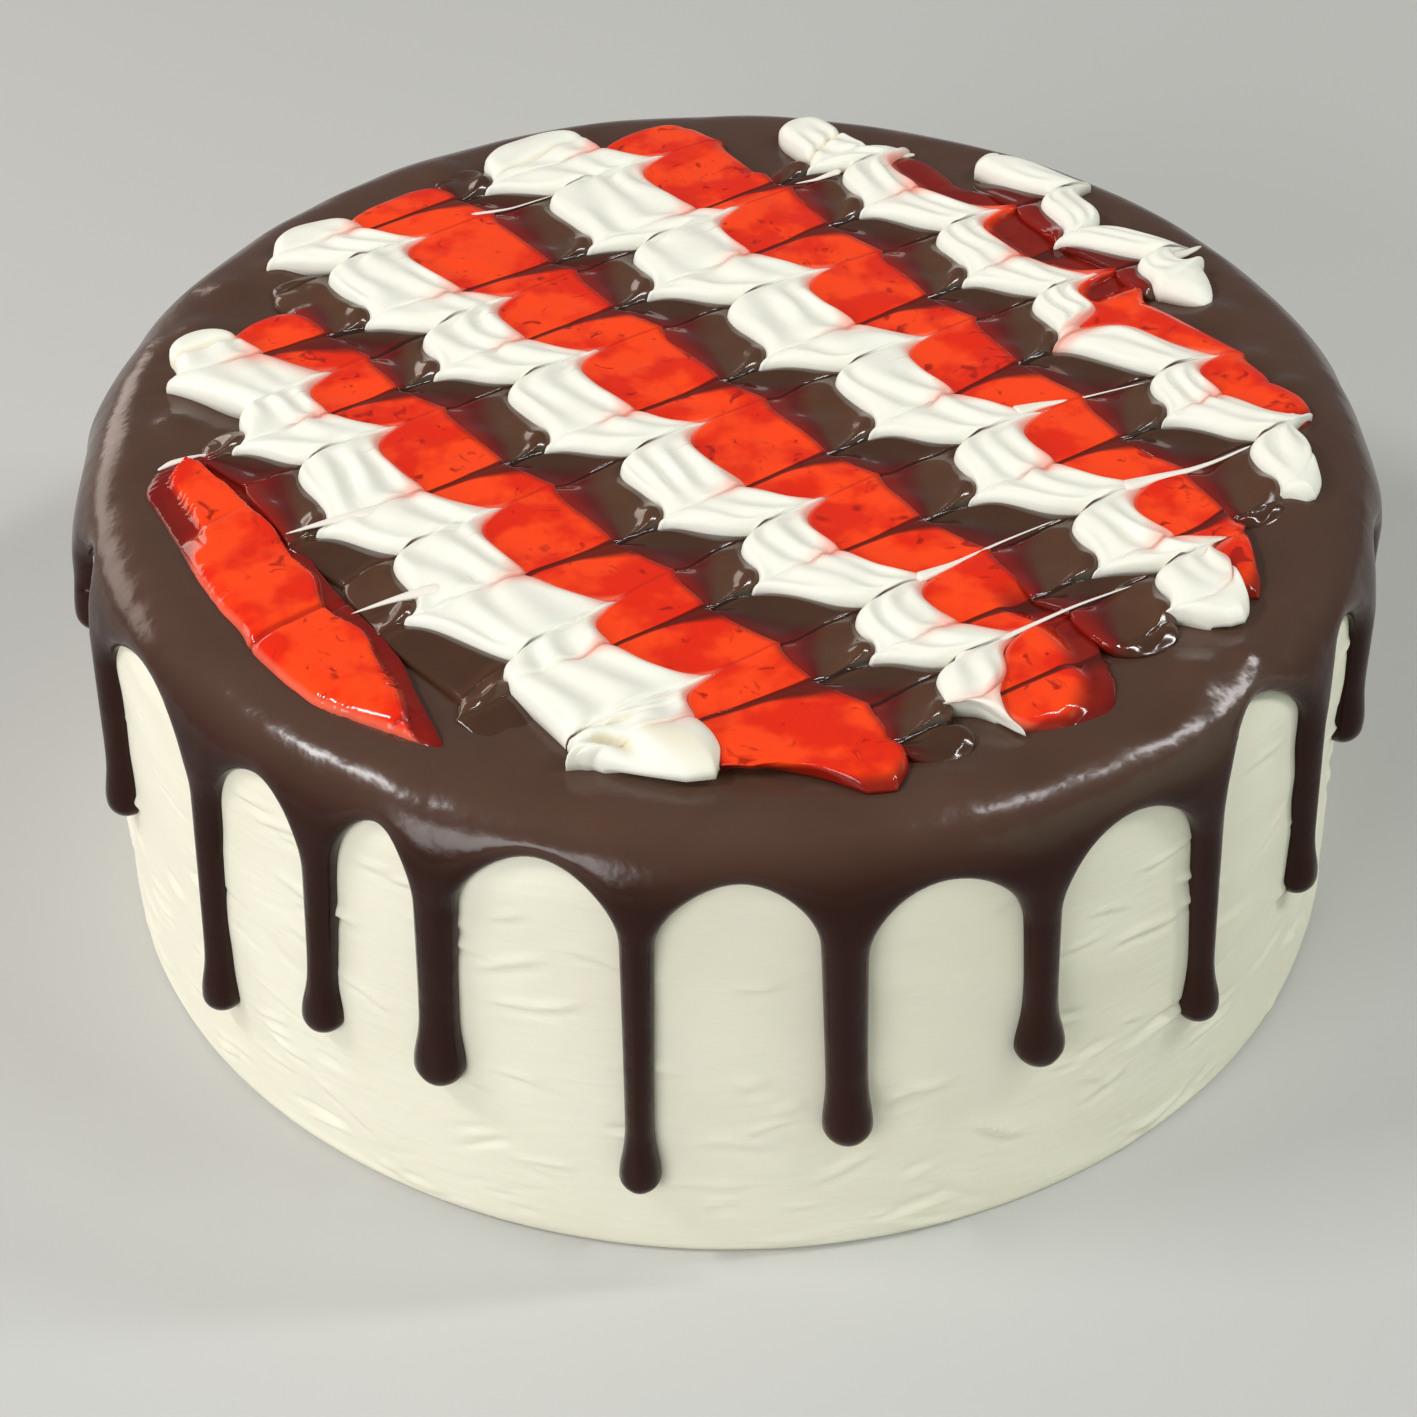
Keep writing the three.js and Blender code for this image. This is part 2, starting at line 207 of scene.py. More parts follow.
shoulder = np.radians(np.linspace(0, 90, 9))
profile = np.concatenate([
    [[0, 0], [60, 0], [WALL_RADIUS - FOOT_BEVEL, 0], [WALL_RADIUS - 0.3, 0.35]],
    [[WALL_RADIUS, z] for z in np.arange(FOOT_BEVEL, CAKE_HEIGHT - CAKE_SHOULDER, ROW_STEP)],
    np.stack([
        WALL_RADIUS - CAKE_SHOULDER * (1 - np.cos(shoulder)),
        CAKE_HEIGHT - CAKE_SHOULDER * (1 - np.sin(shoulder)),
    ], -1),
    [[50, CAKE_HEIGHT], [0, CAKE_HEIGHT]],
])
angle = np.linspace(0, 2 * np.pi, POINTS_ROUND, endpoint=False)
height = profile[:, 1:]
print("points up the side:", len(profile), "and round it:", len(angle))

# %% [markdown]
# The relief is two layers of waves, longer than they are high because the knife ran level, and a
# few hundred knife marks. A mark is a ridge with a shallower groove below it. The marks differ in
# length, height and slant, and more of them lie near the foot. They fade out at the foot itself and
# under the ganache.

# %% Knife marks
KNIFE_MARKS, HIGHEST_MARK = 330, 66
DEEPEST, PROUDEST = -1.1, 0.5


def shorter_way(gap):
    """A distance round the side, counted the shorter way round."""
    return (gap + HALF_WAY_ROUND) % (2 * HALF_WAY_ROUND) - HALF_WAY_ROUND


def round_the_cake(size, seed, stretch):
    """Unevenness that closes on itself: level streaks `stretch` times as long as high."""
    x, y = [WALL_RADIUS / stretch * turn(angle)[None, :] for turn in (np.cos, np.sin)]
    return waves(x + 0.35 * height, y + 0.6 * height, size, seed)


relief = 0.34 * round_the_cake(16, 1, 1.6) + 0.16 * round_the_cake(5, 2, 3)
random = np.random.default_rng(5)
for _ in range(KNIFE_MARKS):
    at = random.uniform(0, 2 * HALF_WAY_ROUND)
    low = HIGHEST_MARK * random.uniform(0, 1) ** 1.3 + 1
    long, thick, tilt = random.uniform(1.5, 6), random.uniform(0.5, 1.1), random.normal(0, 0.24)
    size = random.uniform(0.3, 0.8) * random.choice([1, 1, -0.8])
    along = shorter_way(angle[None, :] * WALL_RADIUS - at)
    up = height - low - tilt * along - 0.4 * np.sin(along / 2.5 + at)
    ridge = np.exp(-(up / thick) ** 2) - 0.6 * np.exp(-((up + 1.6 * thick) / thick) ** 2)
    relief += size * ridge * np.exp(-(along / long) ** 4)
relief *= smooth(height, 0.3, 3) * smooth(profile[:, :1], WALL_RADIUS - 2, WALL_RADIUS - 0.1)
relief = np.clip(relief, DEEPEST, PROUDEST)
points = polar(angle[None, :], profile[:, :1] + relief, height)
print("relief of the buttercream, mm:", round(relief.min(), 2), "to", round(relief.max(), 2))

# %% [markdown]
# Buttercream is satin: its gloss is broad, and the fat gives it an IOR near 1.46. Light goes a
# little way into it, which softens the shading, so it has some subsurface scattering. The colour is
# a warm ivory with faint clouds 22 mm across. The relief in the shader is only what is too fine for
# the mesh: the streaks of the knife, about 1 mm high and 6 mm long. The scale of a noise is the
# number of its lumps in a metre, so it is worked out from the size of one lump. Stains lie over a
# colour in layers, and masks hold each to its place.

# %% Patterns and stains
def per_metre(millimetres):
    """The scale of a pattern from the size of its parts."""
    return 1000 / millimetres


def mask(tree, value, full, none):
    """1 where a value, taken without its sign, is `full`, falling softly to 0 at `none`."""
    size = add(tree, "ShaderNodeMath", {0: value}, operation="ABSOLUTE")
    return add(tree, "ShaderNodeMapRange", {
        "Value": size, "From Min": full, "From Max": none, "To Min": 1, "To Max": 0,
    }, interpolation_type="SMOOTHSTEP")


def stain(tree, colour, *layers):
    """The colour with others laid over it. Each is a colour, an amount, and masks or what a mask is
    made of, and it shows where all its masks are 1."""
    for hex_colour, amount, *masks in layers:
        for each in masks:
            each = mask(tree, *each) if isinstance(each, tuple) else each
            amount = add(tree, "ShaderNodeMath", {0: amount, 1: each}, operation="MULTIPLY")
        colour = add(tree, "ShaderNodeMix", {
            "Factor": amount, 6: colour, 7: linear(hex_colour),
        }, data_type="RGBA").outputs[2]
    return colour


print("1 mm streaks, in a metre:", round(per_metre(1.11)))

# %% Buttercream material
spread_buttercream, tree, shader, place = new_material("spread_buttercream")
level = add(tree, "ShaderNodeMapping", {
    "Vector": place, "Scale": (per_metre(6.25), per_metre(6.25), per_metre(1.11)),
})
streaks = add(tree, "ShaderNodeTexNoise", {"Vector": level, "Scale": 1, "Detail": 3})
clouds = add(tree, "ShaderNodeTexNoise", {"Vector": place, "Scale": per_metre(22.2), "Detail": 2})
bump = add(tree, "ShaderNodeBump", {"Height": streaks, "Strength": 0.22, "Distance": 0.0007})
feed(tree, shader, {
    "Base Color": stain(tree, linear("#eae5cf"), ("#f3f0df", 1, clouds)),
    "Normal": bump, "Roughness": 0.55, "IOR": 1.46,
    "Subsurface Weight": 0.25, "Subsurface Radius": (1.0, 0.8, 0.5), "Subsurface Scale": 0.002,
})
make_piece(
    "buttercream", points, grid_faces(*points.shape[:2], wraps=True), spread_buttercream,
    ["cake"],
)

# %% [markdown]
# ## The ganache
# Ganache is chocolate melted into cream. Poured on while it is warm, it levels on top, rolls over
# the shoulder and runs down in drips until it sets. A fluid simulation could pour it, but its drips
# would fall where they like. So each drip at the front has its own row of measures. The hidden ones
# at the back are drawn from a random sequence, the same as the CAD's, so that they hang within a
# millimetre of its solids.

# %% Drips
COAT_TOP, COAT_RADIUS, COAT_SHOULDER, ARCH_HEIGHT = 81.3, 101.9, 10, 12
BACK_DRIPS = 12
# Angle of the root, lean and height of the end, height of the arch on the right, and half the width
# of the stem and of the bulb
Drip = namedtuple("Drip", "root lean end arch stem bulb")
FRONT_DRIPS = [
    Drip(-80, 0, 53.6, 75, 2.3, 3.0), Drip(-68, -2, 29.6, 74, 2.3, 3.1),
    Drip(-48, -2, 16.6, 72.5, 2.2, 3.0), Drip(-34.5, -1.5, 28.6, 74, 2.2, 3.3),
    Drip(-23.5, -0.8, 28.1, 75, 2.8, 3.8), Drip(-7, 0, 14.3, 74, 2.0, 3.0),
    Drip(9.2, 1, 23.6, 71.5, 2.9, 3.6), Drip(25.8, 1.2, 30.5, 72.5, 2.4, 3.7),
    Drip(42.6, 2.5, 21.5, 76.5, 2.0, 3.2), Drip(58, 3.5, 26.8, 74, 2.2, 3.4),
    Drip(72.5, 1, 41, 73, 2.4, 3.3),
]


def random_sequence(state, factor=16807, modulus=2147483647):
    """Numbers between 0 and 1."""
    while True:
        state = state * factor % modulus
        yield state / modulus


def uneven(numbers, spread):
    """The next number, between -spread and spread."""
    return (2 * next(numbers) - 1) * spread


numbers = random_sequence(7)
drips = list(FRONT_DRIPS)
last, first_again = FRONT_DRIPS[-1].root, FRONT_DRIPS[0].root + 360
for k in range(1, BACK_DRIPS + 1):
    even = last + (first_again - last) * k / (BACK_DRIPS + 1)
    drips.append(Drip(
        even + uneven(numbers, 2.2), uneven(numbers, 1.5), 29 + uneven(numbers, 9),
        73.5 + uneven(numbers, 1.5), 3.0, 3.5,
    ))
print("drips:", len(drips), "angles:", [round(drip.root) for drip in drips])

# %% [markdown]
# Each drip and the coat above it is one sector of the skin. Its rows run from the axis outwards,
# over the shoulder, down through the arches on both sides and to the round end of the drip. Its
# columns follow the outline. A skin cut out of a plain grid would show steps along the arches, or
# need many more points.

# %% Rows of a sector
ACROSS = np.sin(np.pi / 2 * np.linspace(-1, 1, 25))
ARCH_ROWS, STEM_ROWS, END_ROWS = 17, 22, 9
ROOT_FLARE, BULB_LENGTH = 0.35, 5


def sector_rows(drip, arches, halves):
    """Rows of a sector as heights and reaches, left and right of the drip's centre line."""
    rows, root_width = [], drip.stem + ROOT_FLARE
    for rise in np.cos(np.linspace(0, np.pi / 2, ARCH_ROWS)):
        flare = 1 - np.sqrt(1 - rise ** 2)
        rows.append(([arch - (1 - rise) * ARCH_HEIGHT for arch in arches],
                     [root_width + (half - root_width) * flare for half in halves]))
    top = min(arches) - ARCH_HEIGHT
    stem_rows = np.linspace(top, drip.end + drip.bulb, STEM_ROWS)[1:]
    end_rows = drip.end + drip.bulb * (1 - np.sin(np.linspace(0, np.pi / 2, END_ROWS)[1:]))
    for z in np.concatenate([stem_rows, end_rows]):
        share = (z - drip.end) / (top - drip.end)
        bulb = np.exp(-((z - drip.end - drip.bulb) / BULB_LENGTH) ** 2)
        width = drip.stem + ROOT_FLARE * share ** 2 + (drip.bulb - drip.stem) * bulb
        width *= np.sqrt(max(0, 1 - max(0, 1 - (z - drip.end) / drip.bulb) ** 2))
        blend = smooth(share, 0.6, 1.0)
        rows.append(([z + (arch - min(arches)) * blend for arch in arches], [width, width]))
    return rows


def across_row(drip, arches, heights, reach):
    """Angle, height and distance from the centre line of the points across a row."""
    between = (ACROSS + 1) / 2
    z = heights[0] * (1 - between) + heights[1] * between
    arch = arches[0] * (1 - between) + arches[1] * between
    lean = drip.lean * np.maximum(0, (arch - z) / (arch - drip.end))
    off = ACROSS * np.where(ACROSS < 0, reach[0], reach[1])
    return np.radians(drip.root + lean) + off / WALL_RADIUS, z, off


print("rows below the shoulder:", len(sector_rows(drips[0], [74, 75], [10, 10])))

# %% Sectors and the edge of the coat
def finer(line, times=8):
    """The same line with more points on it."""
    at = np.arange(line.shape[1])
    finer_at = np.linspace(0, at[-1], at[-1] * times + 1)
    return np.array([np.interp(finer_at, at, row) for row in line])


sectors = []
for k, drip in enumerate(drips):
    before, after = drips[k - 1], drips[(k + 1) % len(drips)]
    arches = [before.arch, drip.arch]
    halves = [math.radians((b - a) % 360) / 2 * WALL_RADIUS
              for a, b in [(before.root, drip.root), (drip.root, after.root)]]
    low = np.array([across_row(drip, arches, *row) for row in sector_rows(drip, arches, halves)])
    up = np.clip((low[0, 1] - COAT_TOP + COAT_SHOULDER) / COAT_SHOULDER, 0, 1)
    sectors.append((drip, low, np.degrees(np.arcsin(up))))
coat_edge = np.concatenate([
    finer(low[:, :2, side].T) for _, low, _ in sectors for side in (0, -1)
], 1)
print("points along the coat's edge:", coat_edge.shape[1])

# %% [markdown]
# Surface tension rounds every edge of the coat, so its depth follows one rule. It grows from
# nothing at the edge, along a quarter circle, to its full depth 3 mm further in, and it is deepest
# over a drip and its bulb. The rim of the pour hangs over its own foot by about 0.4 mm, which draws
# a thin shadow along it. For each point of the skin, the nearest point of the edge gives both the
# depth and the way that the rim hangs.

# %% Distance to the edge of the coat
SEARCH_WIDTH = 32  # how far from a drip's centre line its part of the edge reaches


def radius_at(z, radius, top, rounding):
    """Radius, at a height, of a wall with a rounded shoulder above it."""
    up = np.clip(z - (top - rounding), 0, rounding)
    return radius - rounding + np.sqrt(rounding ** 2 - up ** 2)


def to_edge(drip, angle, z):
    """How far a point lies from the nearest edge of the coat: sideways, upwards and in all."""
    middle = math.radians(drip.root) * WALL_RADIUS
    away = shorter_way(coat_edge[0] * WALL_RADIUS - middle)
    near = np.abs(away) < SEARCH_WIDTH
    sideways = (angle * WALL_RADIUS)[..., None] - middle - away[near]
    upwards = z[..., None] - coat_edge[1][near]
    nearest = np.hypot(sideways, upwards).argmin(-1)[..., None]
    sideways, upwards = [np.take_along_axis(v, nearest, -1)[..., 0] for v in (sideways, upwards)]
    return sideways, upwards, np.hypot(sideways, upwards)


print("the coat is level out to, mm:", COAT_RADIUS - COAT_SHOULDER)

# %% [markdown]
# No poured coat is level. Long waves run over its shoulder. Beyond the lines it has low swells
# where the pick was lifted out of it, and each is a small dome that catches a glint. A bump in the
# shader would give the glints too, but it would leave the far outline of the coat too smooth.

# %% Waves and swells of the coat
# x, y, radius and height of each swell
SWELLS = [
    (-86, 25, 3.2, 1.1), (-82, 37, 3.2, 1.4), (-75, 43, 4, 1), (-85, 12, 3.4, 1.2),
    (-86, -2, 3.6, 1.4), (-50, 74, 4, 1.2), (84, 17, 3.2, 1.4), (89, 10, 3, 1.2),
    (80, 30, 4, 1.3), (86, -22, 3.4, 1.4), (67, -62, 3.4, 1.3), (75, -58, 3, 1.1),
    (30, -86, 4, 0.8),
]


def coat_unevenness(x, y, z, on_top):
    """How far the coat is pushed out at a point, in millimetres."""
    push = (0.2 * waves(x, y - z, 18, 11) + 0.07 * waves(x, y - z, 7, 12)) * smooth(z, 62, 73)
    for swell_x, swell_y, size, high in SWELLS:
        push += high * on_top * np.exp(-((x - swell_x) ** 2 + (y - swell_y) ** 2) / size ** 2)
    return push


print("swells:", len(SWELLS), "the highest, mm:", max(swell[3] for swell in SWELLS))

# %% [markdown]
# The skin has an outer layer, which is what shows, and a coarser inner one that lies against the
# buttercream. A thickness modifier could make the inner one, but it would push through the cake
# where the coat is thin. The two meet at the edge of the coat, where its depth is nothing.

# %% Skin of the ganache
TOP_ROWS, SHOULDER_ROWS, INNER_STEP = 52, 26, 4
EDGE_ROUNDING, OVERHANG, DRIP_SWELL, BULB_SWELL, SWELL_WIDTH = 2.8, 0.5, 1.4, 0.7, 7
INNER_RADIUS = WALL_RADIUS - 0.3  # the skin reaches a little into the buttercream


def whole_sector(low, turn):
    """Angle, distance from the centre line, height and radius of a sector, from the axis down."""
    flat = (COAT_RADIUS - COAT_SHOULDER) * np.linspace(0, 1, TOP_ROWS)[:, None] ** 0.55
    flat = flat * np.ones_like(ACROSS)
    closer = 1 - (1 - np.linspace(0, 1, SHOULDER_ROWS + 1)[1:-1, None]) ** 1.8
    over = np.radians(90 + (turn - 90) * closer)
    above = len(flat) + len(over)
    angle, off = [np.concatenate([np.tile(low[0, k], (above, 1)), low[:, k]]) for k in (0, 2)]
    z = np.concatenate([np.full_like(flat, COAT_TOP),
                        COAT_TOP - COAT_SHOULDER * (1 - np.sin(over)), low[:, 1]])
    r = np.concatenate([flat, COAT_RADIUS - COAT_SHOULDER * (1 - np.cos(over)),
                        radius_at(low[:, 1], COAT_RADIUS, COAT_TOP, COAT_SHOULDER)])
    return angle, off, z, r


def sector_skin(drip, low, turn):
    """The outer and inner points of one sector, row by row."""
    angle, off, z, r = whole_sector(low, turn)
    sideways, upwards, gap = to_edge(drip, angle, z)
    part = np.clip(gap / EDGE_ROUNDING, 0, 1)
    depth = np.sqrt(1 - (1 - part) ** 2)
    depth = np.maximum(depth, smooth(z, CAKE_HEIGHT - 1, CAKE_HEIGHT + 2))
    hang = OVERHANG * np.sqrt(part) * (1 - part) ** 1.5 * 2.2 / (gap + 1e-6)
    swell = DRIP_SWELL * smooth(z, 79.2, 66.2) * np.exp(-(off / SWELL_WIDTH) ** 2)
    swell += BULB_SWELL * np.exp(-((z - drip.end - drip.bulb - 1) / BULB_LENGTH) ** 2)
    on_top = smooth(z, 76, 81)
    push = coat_unevenness(r * np.sin(angle), -r * np.cos(angle), z, on_top)
    inner_z = np.minimum(z, CAKE_HEIGHT)
    inner_r = np.minimum(r, radius_at(inner_z, INNER_RADIUS, CAKE_HEIGHT, CAKE_SHOULDER))
    outer_r = inner_r + (r + swell + push * (1 - on_top) - inner_r) * depth
    outer_z = inner_z + (z + push * on_top - inner_z) * depth
    outer = polar(angle - hang * sideways / WALL_RADIUS, outer_r, outer_z - hang * upwards)
    return outer, polar(angle, inner_r, inner_z)[:, ::INNER_STEP]


points, faces, count = [], [], 0
for sector in sectors:
    outer, inner = sector_skin(*sector)
    for side in (outer, inner):
        points.append(side.reshape(-1, 3))
        faces.append(grid_faces(*side.shape[:2])[:, ::1 if side is outer else -1] + count)
        count += points[-1].shape[0]
points, faces = np.concatenate(points), np.concatenate(faces)
print("ganache reaches out to, mm:", round(np.hypot(points[:, 0], points[:, 1]).max(), 2))

# %% [markdown]
# Set ganache is a dark brown with a soft shine, and its fat gives an IOR near 1.46. The drips are
# thick, and they are painted almost black as painted shade on the sides of the cake. On top the
# coat is thin, it is painted a lighter, warmer brown as painted light where it faces up, and it
# shines more. Its ripples, 14 mm long, its wrinkles of 4 mm and its grain of 1 mm show only in the
# reflections, so they stay in the shader. Real grain is finer, and it is drawn this coarse because
# it would not show otherwise.

# %% Ganache material
poured_ganache, tree, shader, place = new_material("poured_ganache")
ripples, wrinkles, grain = [
    add(tree, "ShaderNodeTexNoise", {"Vector": place, "Scale": per_metre(size), "Detail": 2})
    for size in (14.3, 3.85, 1.11)
]
# Painted light and shade: the top, where the coat faces up, is painted lighter, and the drips
# darker
painted_light_top = add(tree, "ShaderNodeMapRange", {
    "Value": add(tree, "ShaderNodeSeparateXYZ", {0: place}).outputs["Z"],
    "From Min": 0.071, "From Max": 0.081,
}, interpolation_type="SMOOTHSTEP")
colour = add(tree, "ShaderNodeMix", {
    "Factor": painted_light_top,
    6: stain(tree, linear("#270f08"), ("#301610", 1, ripples)),
    7: stain(tree, linear("#4a3328"), ("#573e32", 1, ripples)),
}, data_type="RGBA").outputs[2]
relief = ripples
for pattern, share in ((grain, 0.03), (wrinkles, 0.16)):
    relief = add(tree, "ShaderNodeMath", {
        0: pattern, 1: share, 2: relief,
    }, operation="MULTIPLY_ADD")
bump = add(tree, "ShaderNodeBump", {"Height": relief, "Strength": 0.5, "Distance": 0.0014})
roughness = add(tree, "ShaderNodeMapRange", {"Value": ripples, "To Min": 0.14, "To Max": 0.26})
shine = add(tree, "ShaderNodeMapRange", {"Value": painted_light_top, "To Min": 0.16, "To Max": 0.42})
feed(tree, shader, {
    "Base Color": colour, "Normal": bump, "Roughness": roughness,
    "Specular IOR Level": shine, "IOR": 1.46,
})
make_piece("poured_ganache", points, faces, poured_ganache, ["ganache"], sharp=55)

# %% [markdown]
# ## The feathered lines
# The baker pipes straight lines of jelly, chocolate and cream side by side, and then draws a pick
# across them, once to the left and once to the right, again and again. Each stroke drags every edge
# with it for a few millimetres on both sides. The pattern could be painted on one flat top, but
# these lines stand 2 to 4 mm high and shade each other. So each line is a mesh between two edges.
# An edge is a straight line plus one peak for each stroke, and everything between two edges, such
# as the ridges of the piping nozzle, is dragged alike. A place on the top has two slanting
# coordinates: a along the strokes, to the right and back, and b along the lines, to the front.

# %% Strokes, edges and lines
STROKE_DIRECTION, LINE_DIRECTION, BOW_HALF_LENGTH = 34, -51.5, 60
# b, pull (-1 to the left), and how far the stroke tilts and bows along the lines, as a hand does
STROKES = [
    (-77.5, -1, 0, 0), (-70.2, 1, 0, 0), (-51.5, -1, 1, -2), (-46.8, 1, -4, 1.5),
    (-34, -1, -1.8, -0.5), (-25, 1, 0, 1), (-7, -1, -1.3, -1), (1.2, 1, -1.5, 1.5),
    (18.8, -1, -3, -2.5), (27.8, 1, -2.5, 4.5), (40.5, -1, 0, 0), (52.3, 1, -1.4, 1.2),
    (64.5, -1, 2.5, -1.3), (70.3, 1, -2, 2), (80, -1, 0, 0),
]
# a at b = -80 and at b = 80, and the pulls to the left and to the right
EDGES = [
    (-80, -91, 0.4, 0.4), (-68, -77, 1.5, 1.5), (-60, -69, 4.5, 4), (-50.5, -50, 1, 7),
    (-39, -31.5, 1.5, 2), (-30.5, -18.5, 4.2, 6), (-16, -8, 1, 7), (3, 6.5, 1.5, 2),
    (12.5, 21, 5, 6), (31, 30, 1, 8), (50.5, 41.5, 1.5, 2), (59.5, 54, 4, 5),
    (68.5, 62, 1, 7), (76, 74, 1.5, 2), (79.5, 78, 5.5, 5), (87, 84.5, 4, 5),
]
# From left to right, each between an edge and the next: kind, and b of the back and front end
LINES = [
    ("jelly", -38, 45), ("chocolate", -46, 62), ("cream", -65, 69.5), ("jelly", -64, 87),
    ("chocolate", -74, 86), ("cream", -85, 88), ("jelly", -86, 90), ("chocolate", -89, 83),
    ("cream", -89, 85.5), ("jelly", -82, 81.5), ("chocolate", -58, 68), ("cream", -68, 68),
    ("jelly", -48, 52), ("chocolate", -33, 17.5), ("cream", -36.5, 21.5),
]
(JELLY_1, CHOCOLATE_1, CREAM_1, JELLY_2, CHOCOLATE_2, CREAM_2, JELLY_3, CHOCOLATE_3, CREAM_3,
 JELLY_4, CHOCOLATE_4, CREAM_4, JELLY_5, CHOCOLATE_5, CREAM_5) = range(len(LINES))
print("strokes:", len(STROKES), "edges:", len(EDGES), "lines:", len(LINES))

# %% [markdown]
# Handwork is never regular, so some tables hold what sets single lines apart: places where a line
# swells or draws in, strokes that stopped short, and front ends that are slanted or torn. The first
# line of jelly is thick and was hardly touched by the pick, so its edges are given point by point.
# At its front the first line of chocolate has sunk into the coat.

# %% What sets single lines apart
# Line, b, half length, and shifts of the left and of the right edge
BULGES = [
    (JELLY_2, 73, 7, -5, 1), (CREAM_2, 86, 6, 2, -8), (JELLY_3, 86, 6, -8, 0),
    (JELLY_3, 79, 3.5, -3, 0), (CREAM_3, 79, 7, 2, 4.2), (JELLY_4, 79, 6, -1.2, 0),
    (CREAM_4, 17.8, 2, 0, -6), (CREAM_4, 59, 6, 0, 2), (JELLY_5, 17.8, 2, -6, 0),
    (CREAM_5, 18, 4, -1, 4.5), (CREAM_1, 62.5, 2.5, -2, 0), (JELLY_3, 88, 7, 0, -4),
]
# From which b on no stroke reaches the left edge of a line
MISSED = {CREAM_1: 38, JELLY_2: 66}
# How far the front end of a line reaches at five places from its left to its right side
ENDS = {
    CREAM_1: (-5, -3, -1, 0, -1.5), JELLY_2: (-19, -11, -2, 0, -2.5), CREAM_2: (-6, -2, 0, -1, -4),
    CREAM_3: (-2.5, -0.5, 0, -1.5, -8), JELLY_4: (-1.5, 0, -2.5, -6.5, -11),
    CREAM_4: (-1, -0.5, -2, -4, -7),
}
# How strongly the strokes mark a line, where that is less than fully
FAINT = {JELLY_1: 0.03, CHOCOLATE_1: 0.4}
# The least spread of the film of jelly over a line of chocolate
FILMED = {CHOCOLATE_5: 0.9}
# Stretches of single lines: b where each begins, and b where it is complete
UNMARKED = {JELLY_2: (66, 69)}
APART = {CHOCOLATE_1: (-14, -2)}
BRIGHT_EDGE = {JELLY_1: (-16, -8)}
DEEP_RIDGES = {CREAM_1: (36, 46)}
SUNK = {CHOCOLATE_1: (36, 50)}
# The first line of jelly: b, and its left and its right edge
FIRST_JELLY = np.array([
    (-38, -79, -70), (-33, -82, -69.5), (-25, -83.5, -69.5), (-20, -84.5, -70), (-10, -87, -71),
    (0, -88.5, -73), (7, -88.5, -74), (9, -90, -74), (20, -90, -74.5), (26, -89.5, -75.5),
    (32, -87, -77.5), (38, -84, -79.5), (45, -82, -80.5),
]).T
print("bulges:", len(BULGES), "shaped ends:", len(ENDS))

# %% [markdown]
# The drag of a stroke fades within a few millimetres, more slowly on the side towards the next
# stroke of the pair. Where the pull is strong, it draws the edge out into a sharp tip.

# %% Dragged edges
# How far the drag reaches before and after a stroke, for each pull
DRAG_REACH = {-1: (3.2, 5), 1: (5, 2.2)}
DRAG, TIP_DRAG, TIP_REACH, STRONG_PULL = 0.85, 0.3, 0.9, 3
EDGE_END = 80


def edge_at(k, b, start, end):
    """Where the left edge of line k lies at b, dragged by the strokes away from its ends."""
    first, last, left, right = EDGES[k]
    a = first + (last - first) * (b + EDGE_END) / (2 * EDGE_END)
    for at, pull, *_ in STROKES:
        gap, size = b - at, -left if pull < 0 else right
        before, after = DRAG_REACH[pull]
        drag = DRAG * np.exp(-np.abs(gap) / np.where(gap < 0, before, after))
        if abs(size) > STRONG_PULL:
            drag += TIP_DRAG * np.exp(-np.abs(gap) / TIP_REACH)
        reached = smooth(min(at - start, end - at), 1, 6) * (at < MISSED.get(k, math.inf))
        a = a + size * drag * reached
    return a


def rounded_steps(line, times):
    """The same line with its corners smoothed away and its ends kept."""
    for _ in range(times):
        line[1:-1] = (line[:-2] + 2 * line[1:-1] + line[2:]) / 4
    return line


def line_sides(number, b, start, end):
    """The left and the right edge of a line at b, with its bulges."""
    left, right = [edge_at(k, b, start, end) for k in (number, number + 1)]
    if number == JELLY_1:
        left, right = [rounded_steps(np.interp(b, FIRST_JELLY[0], side), 20)
                       for side in FIRST_JELLY[1:]]
    for line, at, length, left_shift, right_shift in BULGES:
        if line == number:
            bulge = np.exp(-((b - at) / length) ** 2)
            left, right = left + left_shift * bulge, right + right_shift * bulge
    return left, right


left, right = line_sides(CREAM_2, np.arange(-60, 60, 0.5), -85, 88)
print("the second line of cream is", round((right - left).min(), 1), "to",
      round((right - left).max(), 1), "mm wide")

# %% [markdown]
# The slanting coordinates turn into a point on the coat, which is level in the middle and falls
# away over the shoulder. The hand bent each stroke a little, so b shifts with a, along the tilt and
# the bow of the strokes nearby.

# %% Places on the coat
def coat_height(r):
    """Height of the coat at a distance from the axis."""
    out = np.clip(r - (COAT_RADIUS - COAT_SHOULDER), 0, COAT_SHOULDER)
    return COAT_TOP - COAT_SHOULDER + np.sqrt(COAT_SHOULDER ** 2 - out ** 2)


def on_coat(a, b, height, bent=True):
    """The point at a height above the coat that has the slanting coordinates a and b."""
    at, _, tilts, bows = np.array(STROKES).T
    out = a / BOW_HALF_LENGTH * bent
    b = b + np.interp(b, at, tilts) * out + np.interp(b, at, bows) * out ** 2
    u, v = math.radians(STROKE_DIRECTION), math.radians(LINE_DIRECTION)
    x, y = a * math.cos(u) + b * math.cos(v), a * math.sin(u) + b * math.sin(v)
    return np.stack([x, y, coat_height(np.hypot(x, y)) + height], -1)


print("a = 50, b = 20 lies at, mm:", on_coat(50, 20, 0).round(1))

# %% [markdown]
# Each line becomes a fine tube. It could be a bevelled curve, but a curve can't be dragged across
# itself. The rows of this grid are cuts across the line, close together beside a stroke, and its
# columns keep to the dragged material.

